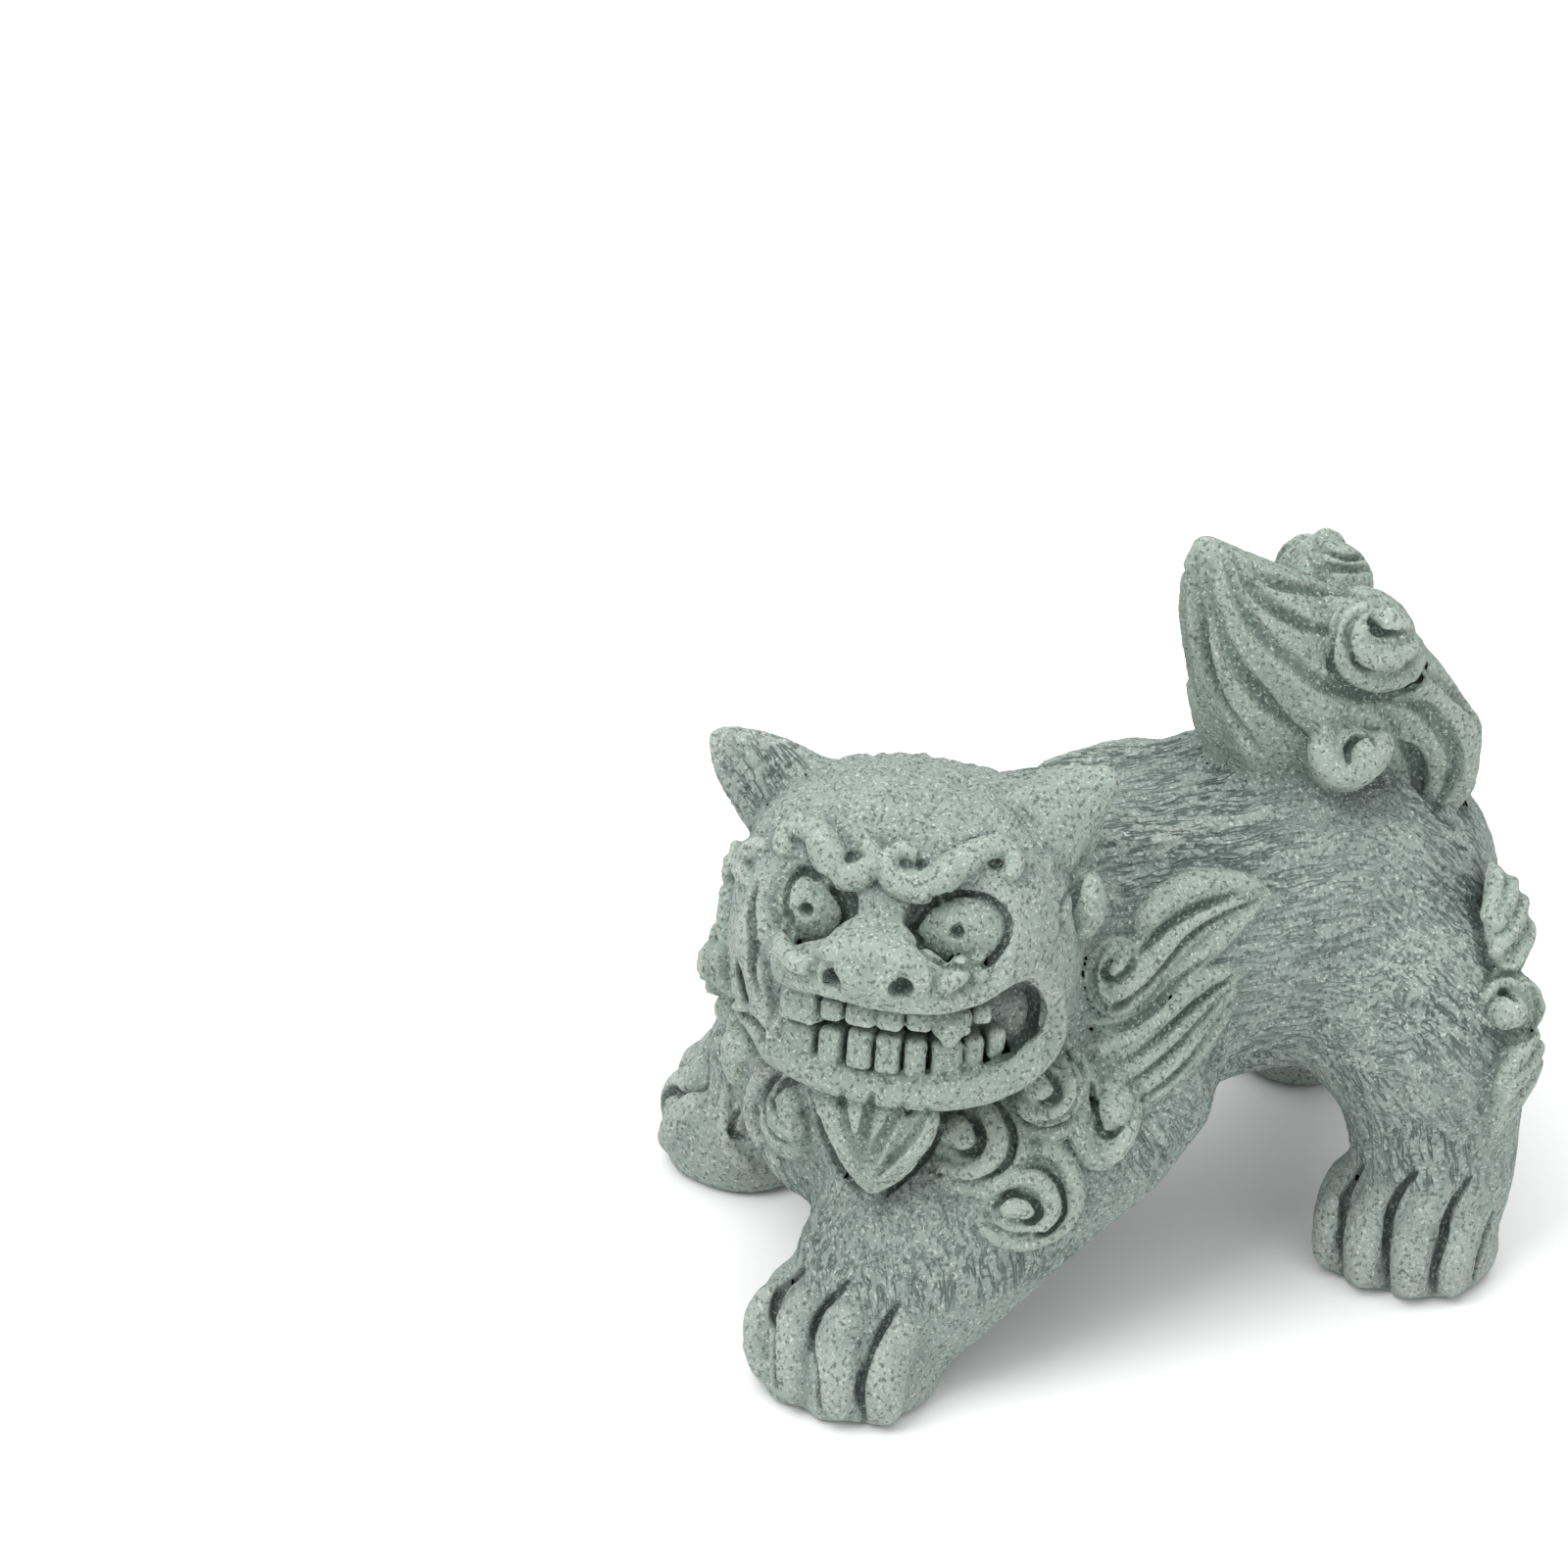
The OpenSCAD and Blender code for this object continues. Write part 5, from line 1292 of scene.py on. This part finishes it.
def loops_of(a, b):
    """Closed loops from the directed edges a to b."""
    order = np.argsort(a, kind="stable")
    a, b = a[order], b[order]
    used = np.zeros(len(a), bool)
    out = []
    for s in range(len(a)):
        if used[s]:
            continue
        loop, k = [], s
        while not used[k]:
            used[k] = True
            loop.append(a[k])
            lo = np.searchsorted(a, b[k])
            while lo < len(a) and a[lo] == b[k] and used[lo]:
                lo += 1
            if lo >= len(a) or a[lo] != b[k]:
                break
            k = lo
        out.append(np.array(loop))
    return out


def strip(ring, inner):
    """Triangles between a ring of points and an inner one that has the same number or a third of it."""
    i = np.arange(len(ring))
    j = i * len(inner) // len(ring) if len(inner) == len(ring) else i // 3
    ahead = np.roll(ring, -1)
    turn = np.append(j[1:] != j[:-1], True)
    following = np.roll(inner, -1)[j]
    return np.concatenate([np.stack([ring, ahead, inner[j]], 1),
                           np.stack([ahead, following, inner[j]], 1)[turn]])


# a cap sinks this deep under the skin, in rings this far apart, with a third of the points of a long border
CAP_DEEP = 1.0
CAP_GAP = 1.3
MOST_RINGS = 12
LONG_BORDER = 24
# the value of every shading attribute on a cap's own points, so that a cap that shows gets half the painted
# shade of hollows and half the painted light of raised tops
CAP_VALUE = 0.5


def cap_of(clay, loop, skin, out, count):
    """Points, their facing and triangles that close one border of a patch inside the lump."""
    middle = skin[loop].mean(0)
    facing = out[loop].mean(0) + 1e-6
    size = np.linalg.norm(skin[loop] - middle, axis=1).max()
    deep = min(CAP_DEEP, 0.5 * size)
    goal = skin[loop[::3 if len(loop) > LONG_BORDER else 1]]
    steps = int(np.clip(math.ceil(size / CAP_GAP), 2, MOST_RINGS))
    ring, places, caps = loop, [], []
    for share in np.arange(1, steps) / steps:
        places.append(clay.under(goal * (1 - share) + middle * share, deep))
        inner = count + np.arange(len(goal))
        count += len(goal)
        caps.append(strip(ring, inner))
        ring = inner
    places.append(clay.under(middle[None], deep))
    caps.append(np.stack([ring, np.roll(ring, -1), np.full(len(ring), count)], 1))
    places = np.concatenate(places)
    return places, np.tile(facing, (len(places), 1)), np.concatenate(caps)


def closed_mesh(name, v, quads, triangles):
    """A mesh with smooth faces from points in millimetres."""
    mesh = bpy.data.meshes.new(name)
    corners = np.concatenate([quads.reshape(-1), triangles.reshape(-1)]).astype(np.int32)
    starts = np.concatenate([np.arange(len(quads)) * 4, 4 * len(quads) + np.arange(len(triangles)) * 3])
    totals = np.concatenate([np.full(len(quads), 4), np.full(len(triangles), 3)])
    mesh.vertices.add(len(v))
    mesh.vertices.foreach_set("co", (v * MM).astype(np.float32).reshape(-1))
    mesh.loops.add(len(corners))
    mesh.loops.foreach_set("vertex_index", corners)
    mesh.polygons.add(len(starts))
    mesh.polygons.foreach_set("loop_start", starts.astype(np.int32))
    mesh.polygons.foreach_set("loop_total", totals.astype(np.int32))
    mesh.update(calc_edges=True)
    mesh.validate()
    mesh.polygons.foreach_set("use_smooth", np.ones(len(mesh.polygons), bool))
    return mesh


def make_piece(clay, name, points, normals, quads, values):
    """One closed mesh from a patch of the skin, capped inside the lump where it meets its neighbours."""
    used, index = np.unique(quads, return_inverse=True)
    index = index.reshape(quads.shape)
    a = index.reshape(-1)
    b = np.roll(index, -1, axis=1).reshape(-1)
    n = len(used)
    open_edge = ~np.isin(a.astype(np.int64) * n + b, b.astype(np.int64) * n + a)
    v, out, caps = points[used], normals[used], [np.zeros((0, 3), int)]
    for loop in loops_of(b[open_edge], a[open_edge]) if open_edge.any() else []:
        if len(loop) >= 3:
            places, facing, cap = cap_of(clay, loop, v, out, len(v))
            v, out = np.concatenate([v, places]), np.concatenate([out, facing])
            caps.append(cap)
    mesh = closed_mesh(name, v, index, np.concatenate(caps))
    for key, data in values.items():
        layer = mesh.attributes.new(key, "FLOAT", "POINT")
        full = np.concatenate([data[used], np.full(len(v) - n, CAP_VALUE)]).astype(np.float32)
        layer.data.foreach_set("value", full)
    mesh.normals_split_custom_set_from_vertices(out.astype(np.float32))
    obj = bpy.data.objects.new(name, mesh)
    bpy.context.collection.objects.link(obj)
    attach(obj, "root")
    return obj


def vertex_normals(points, quads):
    """Outward directions at points, each the mean of the faces round it."""
    n = np.zeros_like(points)
    a, b, c, d = (points[quads[:, k]] for k in range(4))
    face = np.cross(c - a, d - b)
    for k in range(4):
        for axis in range(3):
            n[:, axis] += np.bincount(quads[:, k], face[:, axis], len(points))
    return n / np.maximum(np.linalg.norm(n, axis=1, keepdims=True), 1e-12)


# fur: short wavy strokes cut along the hair
NOISE_CELLS = 48
NOISE = np.random.default_rng(SEED).uniform(-1, 1, (NOISE_CELLS,) * 3).astype(np.float32)


def noise_at(points, cell, shift=0.0):
    """Smooth seeded noise, from -1 to 1."""
    n = NOISE_CELLS
    q = points / cell + shift
    i = np.floor(q).astype(np.int64)
    f = q - i
    f = f * f * (3 - 2 * f)
    out = 0
    for dx in (0, 1):
        wx = f[:, 0] if dx else 1 - f[:, 0]
        for dy in (0, 1):
            wy = f[:, 1] if dy else 1 - f[:, 1]
            for dz in (0, 1):
                wz = f[:, 2] if dz else 1 - f[:, 2]
                corner = NOISE[(i[:, 0] + dx) % n, (i[:, 1] + dy) % n, (i[:, 2] + dz) % n]
                out = out + wx * wy * wz * corner
    return out


def hair_way(p):
    """The way the hair lies: back along the body, down the haunch and the legs."""
    x, y, z = p[:, 0] - MIDDLE, p[:, 1], p[:, 2]
    down = np.clip((34.0 - z) / 12.0, 0, 1)
    haunch = np.exp(-((y - 28.0) / 12.0) ** 2)
    way = np.zeros_like(p)
    way[:, 1] = 1.0 - 0.75 * down
    rise = 0.35 * np.clip((10.0 - y) / 14.0, 0, 1)
    fall = 0.7 * haunch * np.clip((z - 20) / 20, 0, 1)
    way[:, 2] = rise - 0.1 - 0.9 * down - fall
    way[:, 0] = 0.25 * np.sign(x) * (1 - down)
    wave = noise_at(p, 5.0, 3.3)
    way[:, 2] += 0.55 * wave
    way[:, 1] += 0.35 * noise_at(p, 4.0, 9.1)
    return way


def hair_kind(p):
    """How the hair of a place is stroked: 0 along the back, 1 over the haunch, 2 down the legs."""
    haunch = np.exp(-((p[:, 1] - 30.0) / 10.0) ** 2)
    return np.maximum(2 * np.clip((32.0 - p[:, 2]) / 13.0, 0, 1), haunch)


def fur_depth(points, normals, length=1.0, steps=4, width=0.48):
    """Noise drawn out along the hair, from -1 to 1."""
    total = noise_at(points, width)
    for side in (1, -1):
        p = points.copy()
        for k in range(steps):
            way = hair_way(p)
            way -= normals * np.einsum("ij,ij->i", way, normals)[:, None]
            way /= np.maximum(np.linalg.norm(way, axis=1, keepdims=True), 1e-6)
            p = p + side * way * (length / steps)
            total = total + noise_at(p, width)
    return total / (2 * steps + 1) ** 0.5


# floor, backdrop and light
def plain(name, colour):
    """A matt, even surface."""
    mat = bpy.data.materials.new(name)
    mat.use_nodes = True
    bsdf = mat.node_tree.nodes["Principled BSDF"]
    bsdf.inputs["Base Color"].default_value = (*colour, 1)
    bsdf.inputs["Roughness"].default_value = 0.9
    bsdf.inputs["Specular IOR Level"].default_value = 0.1
    return mat


FLOOR = 30.0
FLOOR_WHITE = (0.95, 0.95, 0.95)
SKY = 0.56
# name, place and size in metres, and power in watts
LAMPS = [("key", (0.25, -0.7, 1.0), 0.7, 7.4), ("fill", (1.1, 0.25, 0.5), 0.9, 2.5),
         ("top", (-0.1, 0.05, 1.25), 1.5, 14.0)]
LIT_PLACE = (0, 0, 0.035)


def make_studio():
    """A pale floor, an even white room and three soft lamps."""
    mesh = bpy.data.meshes.new("floor")
    corners = [(-FLOOR, -FLOOR, 0), (FLOOR, -FLOOR, 0), (FLOOR, FLOOR, 0), (-FLOOR, FLOOR, 0)]
    mesh.from_pydata(corners, [], [(0, 1, 2, 3)])
    floor = bpy.data.objects.new("floor", mesh)
    mesh.materials.append(plain("pale_floor", FLOOR_WHITE))
    bpy.context.collection.objects.link(floor)
    world = bpy.data.worlds.new("room")
    bpy.context.scene.world = world
    world.use_nodes = True
    world.node_tree.nodes["Background"].inputs[0].default_value = (1, 1, 1, 1)
    world.node_tree.nodes["Background"].inputs[1].default_value = SKY
    for name, place, size, power in LAMPS:
        data = bpy.data.lights.new(name, "AREA")
        data.size = size
        data.energy = power
        lamp = bpy.data.objects.new(name, data)
        lamp.location = place
        aim = Vector(LIT_PLACE) - Vector(place)
        lamp.rotation_euler = aim.to_track_quat("-Z", "Y").to_euler()
        bpy.context.collection.objects.link(lamp)


# the whole lion
def smooth_faces(points):
    """1 where fur is cut, 0 where the clay is left plain: face and toes."""
    h = to_head(points)
    face = np.clip((np.linalg.norm(h / [19.0, 19.0, 19.0], axis=1) - 0.85) / 0.25, 0, 1)
    toes = np.clip((points[:, 2] - 11.0) / 3.0, 0, 1)
    return face * toes


# a patch with more faces than this becomes two pieces
MOST_FACES = 95000
# how deep the hair is cut, how high the forehead's bumps and the sand's grit stand
HAIR_CUT = 0.22
BUMPS = 0.5
BUMP_SIZE = 1.2
GRAINS = 0.07
GRAIN_SIZE = 0.7
# below this height the soles stay as they are
SOLE = 0.4
# how far round a place the painted shade of hollows and the painted light of raised tops are felt, near and
# wide
NEAR = 0.8
WIDE = 1.6


def hair_share(points, quads, label, clay):
    """1 where a piece with hair shows, 0 elsewhere, fading over the borders."""
    furry = np.isin(label, [clay.key(n) for n in LIMBS + FURRY])
    on = np.zeros(len(points))
    seen = np.zeros(len(points))
    for k in range(4):
        on += np.bincount(quads[:, k], furry, len(points))
        seen += np.bincount(quads[:, k], minlength=len(points))
    on /= np.maximum(seen, 1)
    for _ in range(3):
        face = on[quads].mean(1)
        on = sum(np.bincount(quads[:, k], face, len(points)) for k in range(4)) / np.maximum(seen, 1)
    return on


def hair_amount(points, on):
    """How strongly the hair is cut: in patches, hardly on the breast, not on face and toes."""
    patchy = np.clip(0.75 + 0.7 * noise_at(points, 8.0, 1.7), 0.25, 1.0)
    front = np.clip((-4.0 - points[:, 1]) / 4.0, 0, 1)
    breast = front * np.clip(1.0 - np.abs(points[:, 2] - 27.0) / 11.0, 0, 1)
    return on * smooth_faces(points) * patchy * (1 - 0.7 * breast)


def cut_skin(clay, points, normals, quads, label, cut):
    """The skin with the hair's cuts, the bumps of the forehead and the grit of the sand."""
    on_head = np.bincount(quads[:, 0], np.isin(label, [clay.key("head")]), len(points))
    bumpy = on_head * np.clip((to_head(points)[:, 2] - 8) / 4, 0, 1)
    grit = noise_at(points, GRAIN_SIZE, 5.5) * GRAINS
    grit = grit + noise_at(points, BUMP_SIZE, 2.2) * BUMPS * np.clip(bumpy, 0, 1)
    skin = points + normals * (grit - cut * HAIR_CUT)[:, None]
    low = points[:, 2] < SOLE
    skin[low] = points[low]
    skin[:, 2] = np.maximum(skin[:, 2], 0.0)
    return skin


def shade_values(clay, points, quads, label, amount, cut):
    """What the stoneware reads at each point: painted shade in its hollows with a little darker tone of the
    clay, painted light on its raised tops, how furry, and which way of hair.
    """
    soft = blurred(clay.field, cells_in(NEAR))
    wide = blurred(soft, cells_in(WIDE))
    here = clay.sample(points)
    swell = clay.sample(points, soft) - here
    broad = clay.sample(points, wide) - here
    lie = hair_kind(points)
    lie[np.unique(quads[label == clay.key("ear_right")])] = EAR_WAY
    # painted shade in hollows, broad dips such as the chest, and the cuts of the hair, with a little darker
    # tone of the clay
    return {"hollow_shade_and_tone": np.clip(-swell * 2.6 - broad * 0.5 + cut * 0.3, 0, 1),
            # painted light on raised tops, less in the cuts of the hair
            "crest_light": np.clip(swell * 1.7 + broad * 0.22 - cut * 0.4 - 0.05, 0, 1),
            "fur": amount,
            "lie": lie}


def patches(quads, skin):
    """The faces of a node as one patch, or as a fore and an aft half where there are too many."""
    if len(quads) <= MOST_FACES:
        return [("", quads)] if len(quads) else []
    y = skin[quads].mean(1)[:, 1]
    return [("_fore", quads[y < np.median(y)]), ("_aft", quads[y >= np.median(y)])]


def make_lion():
    """The lump with its carving and hair, taken apart into closed pieces for the nodes of the frame."""
    clay = build_lump()
    add_reliefs(clay)
    clay.core = np.maximum(clay.core, clay.field)
    points, quads, label = skin_of(clay)
    label = settle(quads, label, clay.names)
    normals = vertex_normals(points, quads)
    amount = hair_amount(points, hair_share(points, quads, label, clay))
    cut = np.clip((-0.15 - fur_depth(points, normals)) * 2.2, 0, 1) * amount
    skin = cut_skin(clay, points, normals, quads, label, cut)
    values = shade_values(clay, points, quads, label, amount, cut)
    normals = vertex_normals(skin, quads)
    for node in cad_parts:
        plain_clay = node in LIMBS + PAWS + FURRY + ["head"]
        for end, part in patches(quads[label == clay.key(node)], skin):
            obj = make_piece(clay, "clay_" + node + end, skin, normals, part, values)
            obj.data.materials.append(BODY if plain_clay else RELIEF)
            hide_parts(node)


make_lion()
make_studio()
make_camera()
bpy.context.scene.view_settings.view_transform = "Standard"
